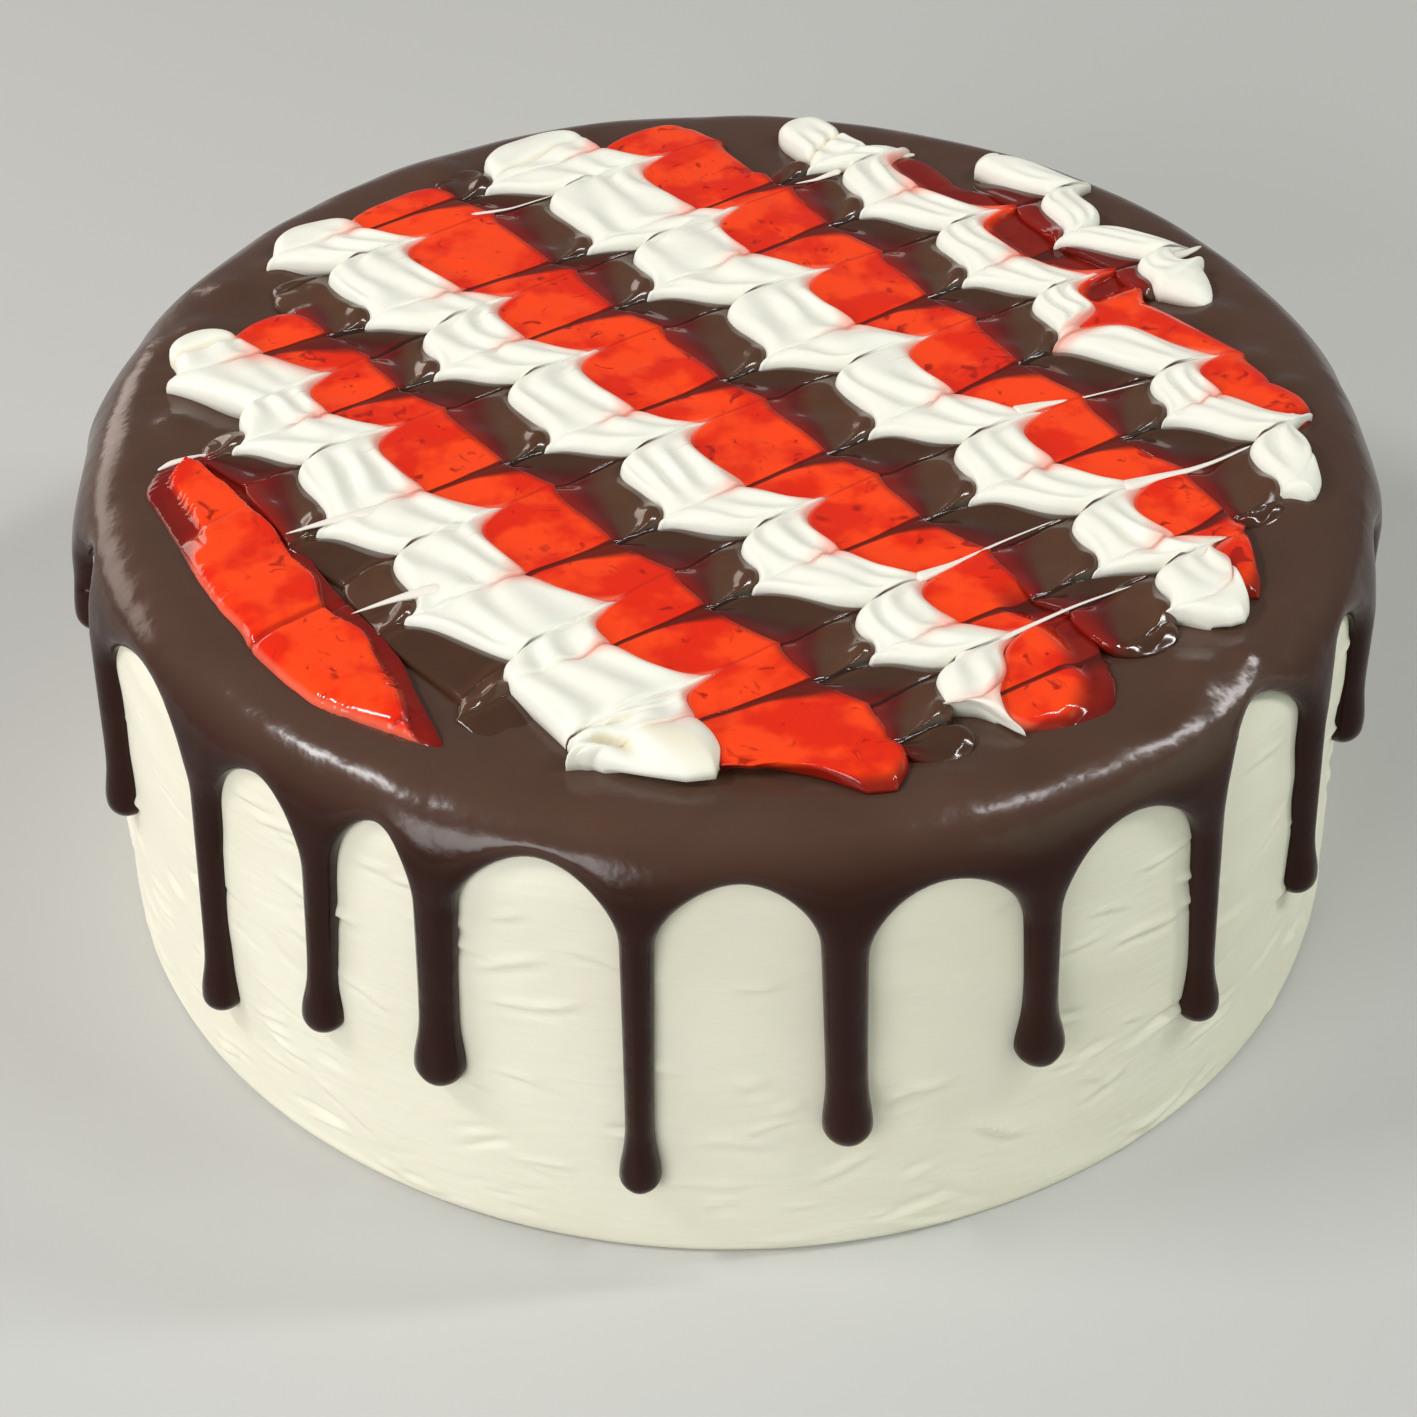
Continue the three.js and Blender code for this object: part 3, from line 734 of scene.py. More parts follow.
# %% Cuts and flanks
EVEN = np.linspace(-1, 1, 35)
COLUMNS = EVEN * 0.5 + 0.5 * np.sin(np.pi / 2 * EVEN)
CUT_STEP, FINE_STEP, LEAST_STEP = 0.6, 0.25, 0.07
END_CUTS = np.array([0, 0.08, 0.2, 0.4, 0.7, 1.1, 1.6, 2.2])
END_ROUNDING, BLUNTNESS, END_TAPER, TAPER_LENGTH = 7, 9, 0.25, 1.5


def cuts_along(start, end):
    """Positions along a line, finer beside the strokes and at the ends."""
    fine = np.concatenate([at + np.arange(-3, 3.01, FINE_STEP) for at, *_ in STROKES])
    cuts = [fine, np.arange(start, end, CUT_STEP), start + END_CUTS, end - END_CUTS]
    cuts = np.concatenate(cuts)
    cuts = np.unique(np.round(cuts[(cuts >= start) & (cuts <= end)], 2))
    return cuts[np.concatenate([[True], np.diff(cuts) > LEAST_STEP])]


def flank(distance, rounding, low=0):
    """`low` at an edge, rising along a quarter circle to 1."""
    return low + (1 - low) * np.sqrt(1 - (1 - np.clip(distance / rounding, 0, 1)) ** 2)


def end_width(number, b, start, end):
    """How much of its width a line has at b: the ends are round, and shaped ones are blunt."""
    blunt = number in ENDS
    inward = np.clip(np.minimum(b - start, end - b + BLUNTNESS * blunt) / END_ROUNDING, 0, 1)
    return flank(inward, 1, 0.02) * (1 - END_TAPER * blunt * np.exp((b - end) / TAPER_LENGTH))


print("cuts across the second line of cream:", len(cuts_along(-85, 88)))

# %% [markdown]
# The colours and the relief follow the same things: the edges, the strokes, the ends and the lines
# on both sides. So each point carries its distances to them, and the height of the line and its
# material read the same numbers. A texture painted by hand would have to be redone with each change
# of shape.

# %% Distances to the strokes
STROKE_AT, STROKE_PULL = np.array([stroke[:2] for stroke in STROKES]).T


def to_stroke(b, pull):
    """Signed distance from b to the nearest stroke of one kind: negative before it."""
    gaps = np.stack([b - at for at in STROKE_AT[STROKE_PULL == pull]])
    nearest = np.abs(gaps).argmin(0)
    return np.take_along_axis(gaps, nearest[None], 0)[0]


def along_leaf(b):
    """0 at a stroke to the left, 1 at the next to the right, and 0 again at the one after that."""
    return np.interp(b, STROKE_AT, STROKE_PULL > 0)


def on_tail(b):
    """1 where the last stroke before b went to the left, 0 where it went to the right."""
    from_stroke = np.abs(b[:, None] - STROKE_AT).min(1)
    return (STROKE_PULL[np.searchsorted(STROKE_AT, b) - 1] < 0) * smooth(from_stroke, 0, 1.2)


def wedge(gap, from_right):
    """Distance to a stroke to the left, in half widths of the wedge of chocolate that it drags."""
    before = 0.4 + 0.8 * np.exp(-from_right / 4)
    after = 0.7 + 4 * np.exp(-(from_right / 4.8) ** 2)
    return np.abs(gap) / np.where(gap > 0, after, before)


print("from b = 0 to the nearest stroke to the left, mm:", to_stroke(np.zeros(1), -1)[0])

# %% Stretches and thin places
def stretch(table, number, b):
    """1 on the stretch of a line that a table names, 0 elsewhere."""
    return smooth(b, *table[number]) if number in table else np.zeros_like(b)


def beside(number, b):
    """1 where the line of this number runs at b, 0 where it doesn't."""
    if not 0 <= number < len(LINES):
        return np.zeros_like(b)
    _, start, end = LINES[number]
    return smooth(b, start, start + 3) * smooth(b, end, end - 3)


def thin_jelly(number, a, b, from_left, from_right):
    """1 where a line of jelly is so thin that the dark chocolate shows through it."""
    if number == JELLY_1:  # at the left of its back, and along its frayed right edge
        frayed = from_right + 0.9 * waves(a, b, 8, 51)
        return smooth(b, -12, -20) * smooth(from_left, 4.4, 3.4) + smooth(frayed, 3.3, 2.3)
    if number == JELLY_3:  # at the right of its front
        return smooth(b, 58, 66) * smooth(from_right, 7, 3)
    if number == JELLY_5:  # all over its back half, except at the left edge
        return smooth(b, 15, 8) * smooth(from_left, 0.3, 3)
    return np.zeros_like(a)


print("the second line of jelly is unmarked at b = 70:", stretch(UNMARKED, JELLY_2, 70))

# %% [markdown]
# Where the pick or the nozzle was lifted, the cream or the jelly folded over and left a short
# slanting dent. A sculpting brush could press them in by hand, but they are few, so they are placed
# one by one. One of them is a swelling, so its depth is negative.

# %% Folds and creases
# Line, a, b, half length, half width, direction and depth
FOLDS = [
    (CREAM_1, -63.5, 61, 4.5, 1.6, 70, 2.4), (CREAM_1, -57, 66, 5, 3.5, 60, -0.9),
    (CREAM_1, -58, -58, 9, 0.8, 0, 1.4), (CREAM_3, 21, -81, 10, 0.7, -8, 1.1),
    (CREAM_4, 61, -55.5, 10, 0.7, -22, 1.2), (CREAM_1, -60, 54, 8, 0.9, 20, 0.9),
    (JELLY_1, -84, 9.5, 12, 0.6, -4, 0.9), (JELLY_1, -80, -18, 7, 0.5, -8, 0.35),
]


def folded(number, a, b):
    """The depth of the folds of a line at a, b."""
    total = np.zeros_like(a)
    for line, at, along, length, width, turn, depth in FOLDS:
        if line == number:
            u, v = math.cos(math.radians(turn)), math.sin(math.radians(turn))
            x, y = a - at, b - along
            down, across = (x * u + y * v) / length, (y * u - x * v) / width
            total += depth * np.exp(-down ** 4 - across ** 2)
    return total


def crease(fields, left, right, far, near):
    """The grooves of the pick, of a depth for each pull: steep before it, gentle after it."""
    total = 0
    for stroke, depth in (("left_stroke", left), ("right_stroke", right)):
        gap = fields[stroke]
        total = total + depth * np.exp(-np.abs(gap) / np.where(gap < 0, far, near))
    return -total * fields["strength"]


print("folds:", len(FOLDS), "the deepest, mm:", max(fold[-1] for fold in FOLDS))

# %% [markdown]
# Now the measures come together. The columns are laid across each cut, between the dragged edges,
# and each point gets its numbers. Then its height is added, and two points at the foot close the
# tube. A flat strip would do for the eye, but a closed tube can't be seen through from any side.

# %% What the points of a line carry
LEAST_SLANT = 0.35
SHAPED_FROM, SHAPED_TO = -24, 6  # where a shaped end begins and is complete, from the front end
COVERED, BRIGHT = 9, 2.4  # added to the distance from a left edge that is covered or bright


def edge_distances(b, middle, half):
    """Distances of all points to the left and to the right edge, square to the edge."""
    distances = []
    for side, share in ((middle - half, (COLUMNS + 1) / 2), (middle + half, (1 - COLUMNS) / 2)):
        slant = np.maximum(1 / np.hypot(1, np.gradient(side, b)), LEAST_SLANT)
        distances.append(share * (2 * half[:, None]) * slant[:, None])
    return distances


def fields_at_cuts(number, b, start, end):
    """The numbers that are the same all across a cut."""
    from_end = np.minimum(b - start, end - b)
    apart, unmarked = [stretch(table, number, b) for table in (APART, UNMARKED)]
    return {
        "left_stroke": to_stroke(b, -1),
        "right_stroke": to_stroke(b, 1),
        "from_end": from_end,
        "left_line": beside(number - 1, b) * smooth(from_end, 1, 5) * (1 - apart),
        "right_line": beside(number + 1, b),
        "leaf": np.maximum(along_leaf(b), FILMED.get(number, 0)),
        "tail": on_tail(b),
        "strength": FAINT.get(number, 1) * smooth(from_end, 1.5, 6) * (1 - unmarked),
    }


def line_grid(number, start, end, tuck):
    """The coordinates of a line's points, and the numbers that they carry."""
    b = cuts_along(start, end)
    left, right = line_sides(number, b, start, end)
    middle = (left + right) / 2
    half = ((right - left) / 2 + tuck) * end_width(number, b, start, end)
    a = middle[:, None] + COLUMNS * half[:, None]
    reach = np.interp(COLUMNS, np.linspace(-1, 1, 5), ENDS.get(number, (0,) * 5))
    along = b[:, None] + reach * smooth(b, end + SHAPED_FROM, end + SHAPED_TO)[:, None]
    fields = {name: np.tile(values[:, None], len(COLUMNS))
              for name, values in fields_at_cuts(number, b, start, end).items()}
    from_left, from_right = edge_distances(b, middle, half)
    bright_edge = BRIGHT * stretch(BRIGHT_EDGE, number, b)[:, None]
    fields |= {
        "from_left": from_left, "from_right": from_right,
        "wedge": wedge(fields["left_stroke"], from_right),
        "open_edge": np.minimum(
            fields["from_end"], from_left + COVERED * fields["left_line"] + bright_edge),
        "thin": thin_jelly(number, a, b[:, None], from_left, from_right),
        "fold": folded(number, a, along),
        "deep": stretch(DEEP_RIDGES, number, along),
        "sunk": stretch(SUNK, number, along),
    }
    return a, along, fields


print("numbers that each point carries:", len(line_grid(CREAM_1, -65, 69.5, 0.25)[2]))

# %% A line as a closed tube
FOOT, LOWEST = -0.4, -0.3  # the foot of a line lies just in the coat


def line_mesh(number, start, end, heights, tuck):
    """Points, faces and fields of a line, which is `tuck` wider than its edges on each side."""
    a, b, fields = line_grid(number, start, end, tuck)
    bent = number != JELLY_1
    tops = on_coat(a, b, np.maximum(heights(a, b, fields), LOWEST), bent)
    feet = on_coat(a[:, [-1, 0]], b[:, [-1, 0]], FOOT, bent)
    points = np.concatenate([tops, feet], 1)
    rows, columns = points.shape[:2]
    faces = list(grid_faces(rows, columns, wraps=True)[:, ::-1])
    faces += [np.arange(columns), (rows - 1) * columns + np.arange(columns)[::-1]]
    fields = {name: np.concatenate([v, v[:, [-1, 0]]], 1) for name, v in fields.items()}
    return points, faces, fields


print("points across a line:", len(COLUMNS) + 2)

# %% [markdown]
# ## The cream
# Whipped cream holds the shape of the ribbed nozzle: soft ridges with wide valleys, which close up
# where the line ends in a smooth blob. The pick draws a crease across them and leaves the tips
# lower. The height is built up in that order: round flanks, ridges, tips, creases and folds.

# %% Heights of the cream
CREAM_HEIGHT, RIDGES = 4.1, 2.7


def share_across(fields):
    """0 at the left edge of a line and 1 at the right edge."""
    return fields["from_left"] / (fields["from_left"] + fields["from_right"] + 1e-6)


def nozzle_valleys(a, b, fields):
    """How deep the valleys between the ridges are, in millimetres."""
    from_left, from_right = fields["from_left"], fields["from_right"]
    valley = np.cos(2 * np.pi * (RIDGES * share_across(fields) + 0.26 * waves(a, b, 13, 22)))
    depth = np.clip(0.75 + 0.4 * waves(a, b, 9, 23), 0.3, 1.2)
    depth = np.maximum(depth, 0.95 * fields["deep"]) * (1 - 0.15 * fields["tail"])
    ridged = smooth(from_left + from_right, 3, 9) * smooth(fields["from_end"], 4, 12)
    ridged = ridged * smooth(np.minimum(from_left, from_right), 0.4, 2)
    return depth * (0.5 + 0.5 * valley) * ridged


def cream_heights(a, b, fields):
    """Height of a line of cream above the coat."""
    from_left, from_right = fields["from_left"], fields["from_right"]
    body = flank(from_left, 2.2) * flank(from_right, 2.6)
    body = CREAM_HEIGHT * (0.4 + 0.6 * body) * flank(fields["from_end"], 5, 0.25)
    body -= nozzle_valleys(a, b, fields)
    left_tip = np.exp(-np.abs(fields["left_stroke"]) / 2) * smooth(from_left, 7, 0)
    right_tip = np.exp(-np.abs(fields["right_stroke"]) / 2) * smooth(from_right, 6, 0)
    body *= 1 - 0.2 * (left_tip + right_tip) * fields["strength"]
    body += crease(fields, 0.8 * smooth(from_left, 1, 7), 0.6, 0.4, 1.1) * smooth(body, 0.5, 2.5)
    body -= fields["fold"] * smooth(body, 0.5, 2)
    return body + 0.14 * waves(a, b, 5, 21) * smooth(body, 0.3, 2)


print("cream stands above the coat, mm:", CREAM_HEIGHT)

# %% [markdown]
# Cream is white with a hint of yellow. It is mostly water, so its IOR is near 1.4, and light
# scatters in its foam. Its froth is too fine to show, so it is drawn as lumps of 4 mm. Next to the
# jelly it is stained pink, most where a stroke to the left has dragged jelly into it. Where a
# stroke to the right ends, a hairline of chocolate enters it.

# %% Cream material
whipped_cream, tree, shader, place = new_material("whipped_cream")
froth = add(tree, "ShaderNodeTexNoise", {"Vector": place, "Scale": per_metre(3.85), "Detail": 3})
gap = add(tree, "ShaderNodeMath", {0: "left_stroke"}, operation="ABSOLUTE")
spread = add(tree, "ShaderNodeMapRange", {"Value": gap, "From Max": 5, "To Min": 5, "To Max": 2})
reach = add(tree, "ShaderNodeMath", {0: "from_right", 1: spread}, operation="DIVIDE")
from_end = add(tree, "ShaderNodeMapRange", {"Value": "from_end", "From Min": 1, "From Max": 7})
by_jelly = ("right_line", from_end)
colour = stain(
    tree, linear("#f4f3e6"), ("#f77c66", 0.75, (reach, 0, 1), *by_jelly),
    # The thin line of jelly along a stroke to the left, and the pink beside it
    ("#b8503c", 0.6, ("left_stroke", 0.05, 0.4), ("from_right", 1, 11), *by_jelly),
    ("#f9a08c", 0.4, ("left_stroke", 0.3, 2.4), ("from_right", 2, 9), *by_jelly),
    # Shade in the folds, and the hairline of chocolate
    ("#e0cfa6", 0.5, ("fold", 1.2, 0.3)),
    ("#4a2a22", 1, ("right_stroke", 0.08, 0.3), ("from_left", 1, 5), "left_line"),
)
bump = add(tree, "ShaderNodeBump", {"Height": froth, "Strength": 0.2, "Distance": 0.0006})
feed(tree, shader, {
    "Base Color": colour, "Normal": bump, "Roughness": 0.42, "IOR": 1.4,
    "Subsurface Weight": 0.2, "Subsurface Radius": (1.0, 0.9, 0.7), "Subsurface Scale": 0.0012,
})

# %% [markdown]
# ## The jelly
# The red line is a clear fruit jelly, a gel of sugar and water with an IOR near 1.38, wet and
# glossy. It could be made of glass with colour inside, but it is deep enough to look solid orange
# red, so an opaque glossy shader gives the same look with far less noise. It has darker clouds
# 9 mm across, and the peaks of lumps of fruit 4 mm across show as dark specks. Where the jelly
# thins out over chocolate it turns dark: at its open edges, and on the back half of the last line.
# A stroke to the left draws a wedge of chocolate across it.

# %% Heights of the jelly
JELLY_HEIGHT = 2.5


def jelly_heights(a, b, fields):
    """Height of a line of jelly above the coat."""
    left_line, right_line = fields["left_line"], fields["right_line"]
    body = JELLY_HEIGHT * flank(fields["from_left"], 5 - 3 * left_line, 0.9 * left_line)
    body *= flank(fields["from_right"], 4 - 2 * right_line, 0.9 * right_line)
    body *= flank(fields["from_end"], 4, 0.1) * (1 - 0.55 * np.clip(fields["thin"], 0, 1))
    body += crease(fields, 0.2, 0.03, 0.4, 0.9) * smooth(body, 0.5, 2) - fields["fold"]
    return body + (0.12 * waves(a, b, 7, 31) + 0.03 * waves(a, b, 2.5, 32)) * smooth(body, 0.3, 2)


print("jelly stands above the coat, mm:", JELLY_HEIGHT)

# %% Jelly material
fruit_jelly, tree, shader, place = new_material("fruit_jelly")
clouds = add(tree, "ShaderNodeTexNoise", {"Vector": place, "Scale": per_metre(9.09), "Detail": 3})
lumps = add(tree, "ShaderNodeTexNoise", {
    "Vector": place, "Scale": per_metre(4.17), "Detail": 2, "Distortion": 1.2,
})
specks = add(tree, "ShaderNodeMapRange", {"Value": lumps, "From Min": 0.63, "From Max": 0.72})
colour = stain(
    tree, linear("#ff4614"), ("#e6280a", 1, (clouds, 0.6, 0.42)), ("#9c1206", 0.8, specks),
    # A pale rim against the cream, and dark jelly where it is thin
    ("#ff8a70", 0.5, ("from_left", 0, 1)), ("#7d140b", 0.7, ("from_right", 0, 1.6)),
    ("#6e110d", 0.9, "thin"), ("#6e120d", 0.85, ("open_edge", 0.4, 3.2)),
    # The wedge of chocolate, painted shade in the folds, and the seam of a stroke to the right
    ("#4e120b", 0.92, ("wedge", 0.45, 1), "right_line", "strength"),
    ("#9c1408", 0.6, ("fold", 0.6, 0.1)),
    ("#b81c0c", 0.45, ("right_stroke", 0.1, 0.45), "strength"),
)
bump = add(tree, "ShaderNodeBump", {"Height": clouds, "Strength": 0.25, "Distance": 0.001})
feed(tree, shader, {"Base Color": colour, "Normal": bump, "Roughness": 0.1, "IOR": 1.38})

# %% [markdown]
# ## The chocolate lines
# Between jelly and cream lies a line of piped ganache. Its fat gives an IOR near 1.46, and it is
# glossier than the coat because nothing has touched its skin, which has set in low ripples of 8 mm.
# The strokes cut it into blocks that swell towards the front, where the pick has pushed them up,
# and into long leaves that end in a sharp tip. A film of jelly reaches over its left side, widest
# beside a stroke to the right. Its open flanks slope down gently into the coat.

# %% Heights of the chocolate
CHOCOLATE_HEIGHT, LUMP_HEIGHT = 2.2, 0.95


def chocolate_heights(a, b, fields):
    """Height of a line of chocolate above the coat."""
    from_left, from_right = fields["from_left"], fields["from_right"]
    left_line, right_line = fields["left_line"], fields["right_line"]
    body = CHOCOLATE_HEIGHT * flank(from_left, 7 - 5 * left_line, 0.97 * left_line)
    body *= flank(from_right, 6 - 3.4 * right_line, 0.4 * right_line)
    body *= flank(fields["from_end"], 9, 0.05)
    body -= 0.6 * smooth(from_right, 2, 5) * smooth(share_across(fields), 0.1, 0.5)
    before_stroke = ((fields["left_stroke"] + 2.8) / 2.2) ** 2
    body += LUMP_HEIGHT * np.exp(-before_stroke - ((from_right - 2.2) / 2.8) ** 2)
    body += crease(fields, 0.7, 0.4, 0.4, 1.0) * smooth(body, 0.4, 2)
    body = body * (1 - fields["sunk"]) + FOOT * fields["sunk"]
    return body + 0.16 * waves(a, b, 6, 41) * smooth(body, 0.3, 2)


print("chocolate stands above the coat, mm:", CHOCOLATE_HEIGHT)

# %% Chocolate material
piped_chocolate, tree, shader, place = new_material("piped_chocolate")
ripples = add(tree, "ShaderNodeTexNoise", {"Vector": place, "Scale": per_metre(8.33), "Detail": 2})
spread = add(tree, "ShaderNodeMapRange", {"Value": "leaf", "To Min": 2.2, "To Max": 9})
reach = add(tree, "ShaderNodeMath", {0: "from_left", 1: spread}, operation="DIVIDE")
film = add(tree, "ShaderNodeMath", {
    0: mask(tree, reach, 0.5, 1.15), 1: "left_line",
}, operation="MULTIPLY")
colour = stain(
    tree, linear("#4c3021"), ("#5d3f2c", 1, ripples),
    # The film of jelly, redder where it is thick, and the tail of each leaf painted darker as
    # painted shade
    ("#5c110d", 1, film), ("#8e1a10", 0.9, (reach, 0, 0.7), "left_line"),
    ("#2a150f", 0.45, "tail"),
    # Painted shade in the creases of the strokes
    ("#1c0e09", 0.8, ("left_stroke", 0.1, 0.7), "strength"),
    ("#1c0e09", 0.8, ("right_stroke", 0.1, 0.45), "strength"),
)
bump = add(tree, "ShaderNodeBump", {"Height": ripples, "Strength": 0.2, "Distance": 0.001})
roughness = add(tree, "ShaderNodeMapRange", {"Value": film, "To Min": 0.12, "To Max": 0.08})
feed(tree, shader, {
    "Base Color": colour, "Normal": bump, "Roughness": roughness, "IOR": 1.46,
})

# %% [markdown]
# Now the fifteen lines are made, each with the heights and the material of its kind. They
# could be one mesh with many materials, but each stays a piece of its own, as in the CAD. Each side
# of a line is tucked about 0.3 mm under its neighbour, so that no gap shows.

# %% Make the lines
# Heights, material, slot and tuck
KINDS = {
    "cream": (cream_heights, whipped_cream, "cream", 0.25),
    "jelly": (jelly_heights, fruit_jelly, "jelly", 0.35),
    "chocolate": (chocolate_heights, piped_chocolate, "ganache", 0.35),
}
made = {kind: 0 for kind in KINDS}
for number, (kind, start, end) in enumerate(LINES):
    made[kind] += 1
    heights, material, slot, tuck = KINDS[kind]
    points, faces, fields = line_mesh(number, start, end, heights, tuck)
    node = f"{kind}_line_{made[kind]}"
    make_piece(f"feathered_{node}", points, faces, material, [node], fields)

# %% [markdown]
# ## The threads
# Where the pick left a line of cream it drew out a thread or a thicker wisp, which fell across the
# next lines or over the edge of the pattern. Each could be a bevelled curve. Here each is a ring of
# points swept along its way, so that its height above the coat and its width are both given. It is
# thick at its root, flat because it is soft, and runs to a point.

# %% Threads of cream
THREAD_RINGS, RING_POINTS, ROUNDING_PASSES, FLATNESS, POINTED = 40, 12, 12, 0.6, 0.15
# Points of each thread: a, b, half its width, height above the coat
THREADS = [
    [(33, 51.6, 1.6, 2.6), (39, 52.2, 0.8, 2.5), (45, 53.4, 0.5, 2.4), (51, 53.5, 0.3, 2.2),
     (57, 53.4, 0.15, 2.4)],
    [(-6, 52, 1.2, 2.5), (1, 52.3, 0.4, 2.5), (10, 51.7, 0.2, 2.2), (20, 52.2, 0.1, 2.4)],
    [(-14, 70.2, 1.2, 2.5), (-3, 70.2, 0.4, 2.5), (8, 70, 0.25, 2.2), (18, 71.2, 0.12, 2.4)],
    [(34, 26.6, 1.5, 2.6), (38, 26.8, 0.8, 2.6), (44, 27.6, 0.2, 2.3), (56, 29.5, 0.1, 2.5)],
    [(65, -49.5, 1.8, 2), (70, -49, 1, 1.4), (74, -46.9, 0.8, 0.5), (76, -46.4, 0.3, 0.3)],
    [(83, 4.3, 1.8, 2.4), (88.5, 5, 0.8, 1.6), (91.5, 4, 0.5, 1.4), (93.3, 2.4, 0.15, 1.2)],
    [(-78, -41.6, 0.2, 0.7), (-75.5, -42, 0.6, 0.8), (-72.5, -40.7, 0.6, 0.8),
     (-68.5, -39, 0.2, 0.7)],
    [(51.5, -48.6, 0.1, 2), (55, -46.8, 0.35, 2.1), (60, -46.5, 0.8, 2.4)],
    [(1, -71.6, 0.5, 2.5), (8, -70, 0.2, 2.2), (16, -69.6, 0.1, 2.3)],
    [(-56, -6, 1.8, 2.4), (-62, -6.6, 1.1, 3.1), (-68, -7.6, 0.5, 3.2), (-73, -8.3, 0.1, 3.1)],
    [(-57, 16.2, 1.8, 2.4), (-64, 14.6, 1.1, 3.1), (-70, 13.6, 0.5, 3.2), (-76, 13, 0.1, 3.1)],
]


def thread_tube(way):
    """Rings of points along a thread."""
    way = np.array(way, float)
    knots, steps = np.arange(len(way)), np.linspace(0, len(way) - 1, THREAD_RINGS)
    a, b, wide, height = [
        rounded_steps(np.interp(steps, knots, column), ROUNDING_PASSES) for column in way.T
    ]
    middle = on_coat(a, b, height)
    ahead = np.gradient(middle, axis=0)
    ahead /= np.linalg.norm(ahead, axis=1, keepdims=True)
    side = np.cross(ahead, [0, 0, 1])
    side /= np.linalg.norm(side, axis=1, keepdims=True)
    up = np.cross(side, ahead)
    turn = np.linspace(0, 2 * np.pi, RING_POINTS, endpoint=False)[:, None]
    ends = np.sqrt(np.clip(np.minimum(steps, steps[-1] - steps) / POINTED, 0.02, 1))
    ring = np.cos(turn) * side[:, None] + FLATNESS * np.sin(turn) * up[:, None]
    return middle[:, None] + (wide * ends)[:, None, None] * ring


rings = np.concatenate([thread_tube(way) for way in THREADS])
first_ring, faces = np.arange(RING_POINTS), []
for k in range(len(THREADS)):
    first, last = [(k * THREAD_RINGS + ring) * RING_POINTS for ring in (0, THREAD_RINGS - 1)]
    tube = grid_faces(THREAD_RINGS, RING_POINTS, wraps=True) + first
    faces += [*tube[:, ::-1], first + first_ring, last + first_ring[::-1]]
# Far from every edge and stroke, and only faintly pink
distances = {"from_left": 30, "from_right": 0.9, "from_end": 30, "left_stroke": 30,
             "right_stroke": 30, "right_line": 0.15, "fold": 0}
plain = {name: np.full(rings.shape[:2], float(value)) for name, value in distances.items()}
make_piece("threads_of_cream", rings, faces, whipped_cream, [], plain)

# %% [markdown]
# ## The stage
# A plain pale floor shows the cake without distraction. A curved backdrop would do too, but one
# large face is simpler, and no edge of it comes into view.

# %% Floor
FLOOR_HALF = 4
corners = [(x * FLOOR_HALF, y * FLOOR_HALF, 0) for x, y in ((-1, -1), (1, -1), (1, 1), (-1, 1))]
floor_mesh = bpy.data.meshes.new("floor")
floor_mesh.from_pydata(corners, [], [(0, 1, 2, 3)])
floor = bpy.data.objects.new("floor", floor_mesh)
bpy.context.scene.collection.objects.link(floor)
pale, tree, shader, _ = new_material("pale_floor")
feed(tree, shader, {"Base Color": linear("#c9c9c6"), "Roughness": 0.6})
floor_mesh.materials.append(pale)
floor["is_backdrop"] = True
print("floor, m:", 2 * FLOOR_HALF)

# %% [markdown]
# Soft light comes from area lights, because a point light would make hard little glints. The gloss
# marks on the ganache say where the light is. Two long boxes high on the left and on the right draw
# the bright marks on the shoulder, and a narrow strip at the right crosses the second one. A wide
# box in front lights the side. A weak greenish one fills the right side, and a warm panel low
# behind on the left gives the sheen on that rim.

# %% Lights
AIM_HEIGHT = 0.05
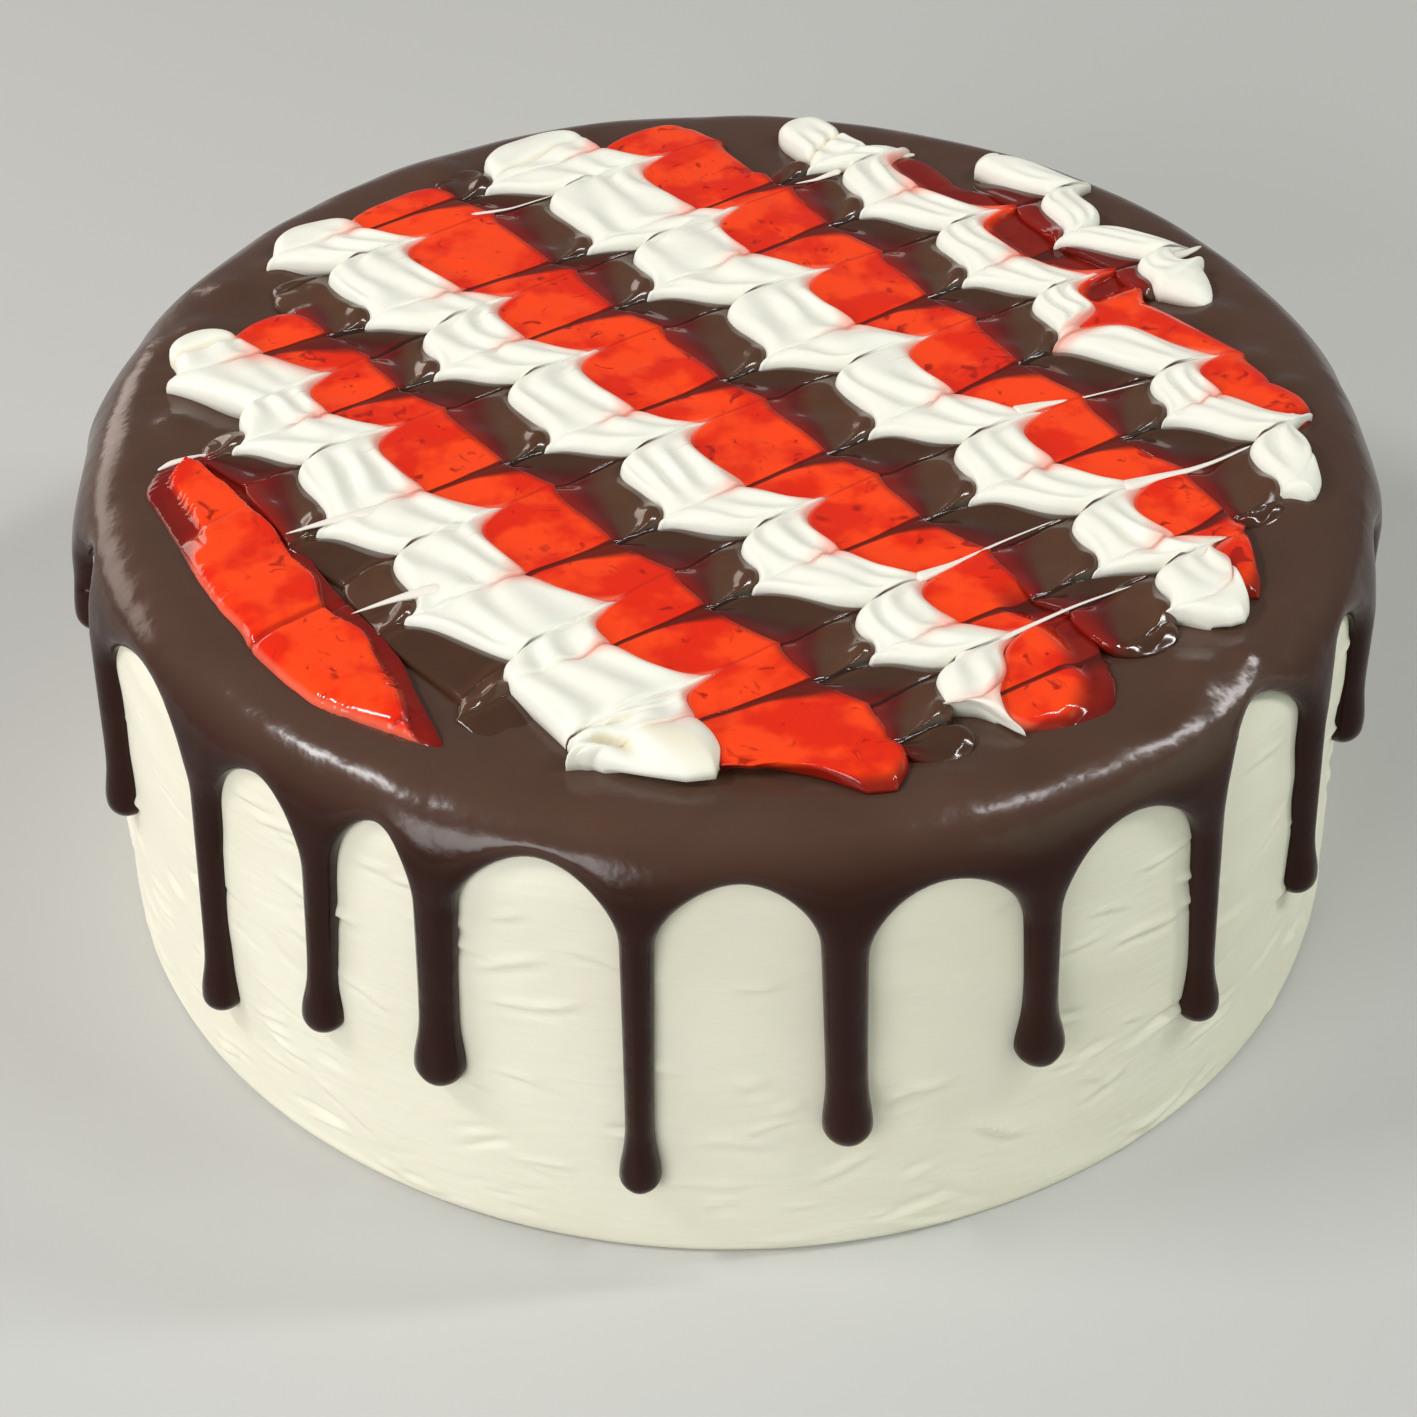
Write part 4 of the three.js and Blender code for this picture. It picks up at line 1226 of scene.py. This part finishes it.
# Azimuth from the front to the right, elevation, distance, width, height, watts and colour
LIGHTS = {
    "left_softbox": (-76, 48, 1.3, 0.4, 0.11, 6.0, "#ffffff"),
    "right_softbox": (68, 56, 1.3, 0.3, 0.05, 2.2, "#ffffff"),
    "right_strip": (93, 42, 1.3, 0.07, 0.5, 4.2, "#ffffff"),
    "front_softbox": (-36, 22, 1.6, 0.8, 0.6, 12, "#ffffff"),
    "right_fill": (66, 12, 1.6, 1.5, 1.0, 3.6, "#dcffe2"),
    "back_left_panel": (-130, 14, 1.6, 1.2, 0.5, 6, "#fff0e4"),
}
for name, (azimuth, elevation, away, wide, tall, watts, hex_colour) in LIGHTS.items():
    light = bpy.data.lights.new(name, "AREA")
    light.shape = "RECTANGLE"
    light.size, light.size_y, light.energy = wide, tall, watts
    light.color = linear(hex_colour)[:3]
    lamp = bpy.data.objects.new(name, light)
    az, el = math.radians(azimuth), math.radians(elevation)
    lamp.location = (away * math.cos(el) * math.sin(az), -away * math.cos(el) * math.cos(az),
                     AIM_HEIGHT + away * math.sin(el))
    lamp.rotation_euler = (math.pi / 2 - el, 0, az)
    bpy.context.scene.collection.objects.link(lamp)
print("lights:", len(LIGHTS))

# %% [markdown]
# An even pale surround lifts the shadows. The Standard view keeps each colour as it was chosen,
# where a filmic view would dull the reds and whites.

# %% Surround
world = bpy.data.worlds.new("studio")
world.use_nodes = True
background = world.node_tree.nodes["Background"]
feed(world.node_tree, background, {"Color": linear("#ebeae8"), "Strength": 0.28})
bpy.context.scene.world = world
bpy.context.scene.view_settings.view_transform = "Standard"
print("view:", bpy.context.scene.view_settings.view_transform)

# %% [markdown]
# ## The camera
# The photograph looks down on the cake at 39.5 degrees from 0.59 m away. Both come from a
# perspective fit of the rim, the wall and the foot of the cake.

# %% Camera
LOOKS_DOWN, TURNED, FOCAL_LENGTH, SENSOR_WIDTH = 39.506, 0.3915, 87.37, 36
camera = bpy.data.objects.new("camera", bpy.data.cameras.new("camera"))
camera.location = (0, -0.444156, 0.388972)
camera.rotation_euler = (math.radians(90 - LOOKS_DOWN), 0, math.radians(TURNED))
camera.data.lens, camera.data.sensor_width = FOCAL_LENGTH, SENSOR_WIDTH
bpy.context.scene.collection.objects.link(camera)
bpy.context.scene.camera = camera
print("camera away from the axis of the cake, m:", round(camera.location.length, 2))

# %% [markdown]
# The box of the dressed cake is measured, and it and the box of the CAD are both printed. The box
# of the dressed cake has to stay inside the box of the CAD.

# %% Sizes
dressed_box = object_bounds()
for box in (cad_box, dressed_box):
    print([[round(1000 * v, 1) for v in corner] for corner in box])
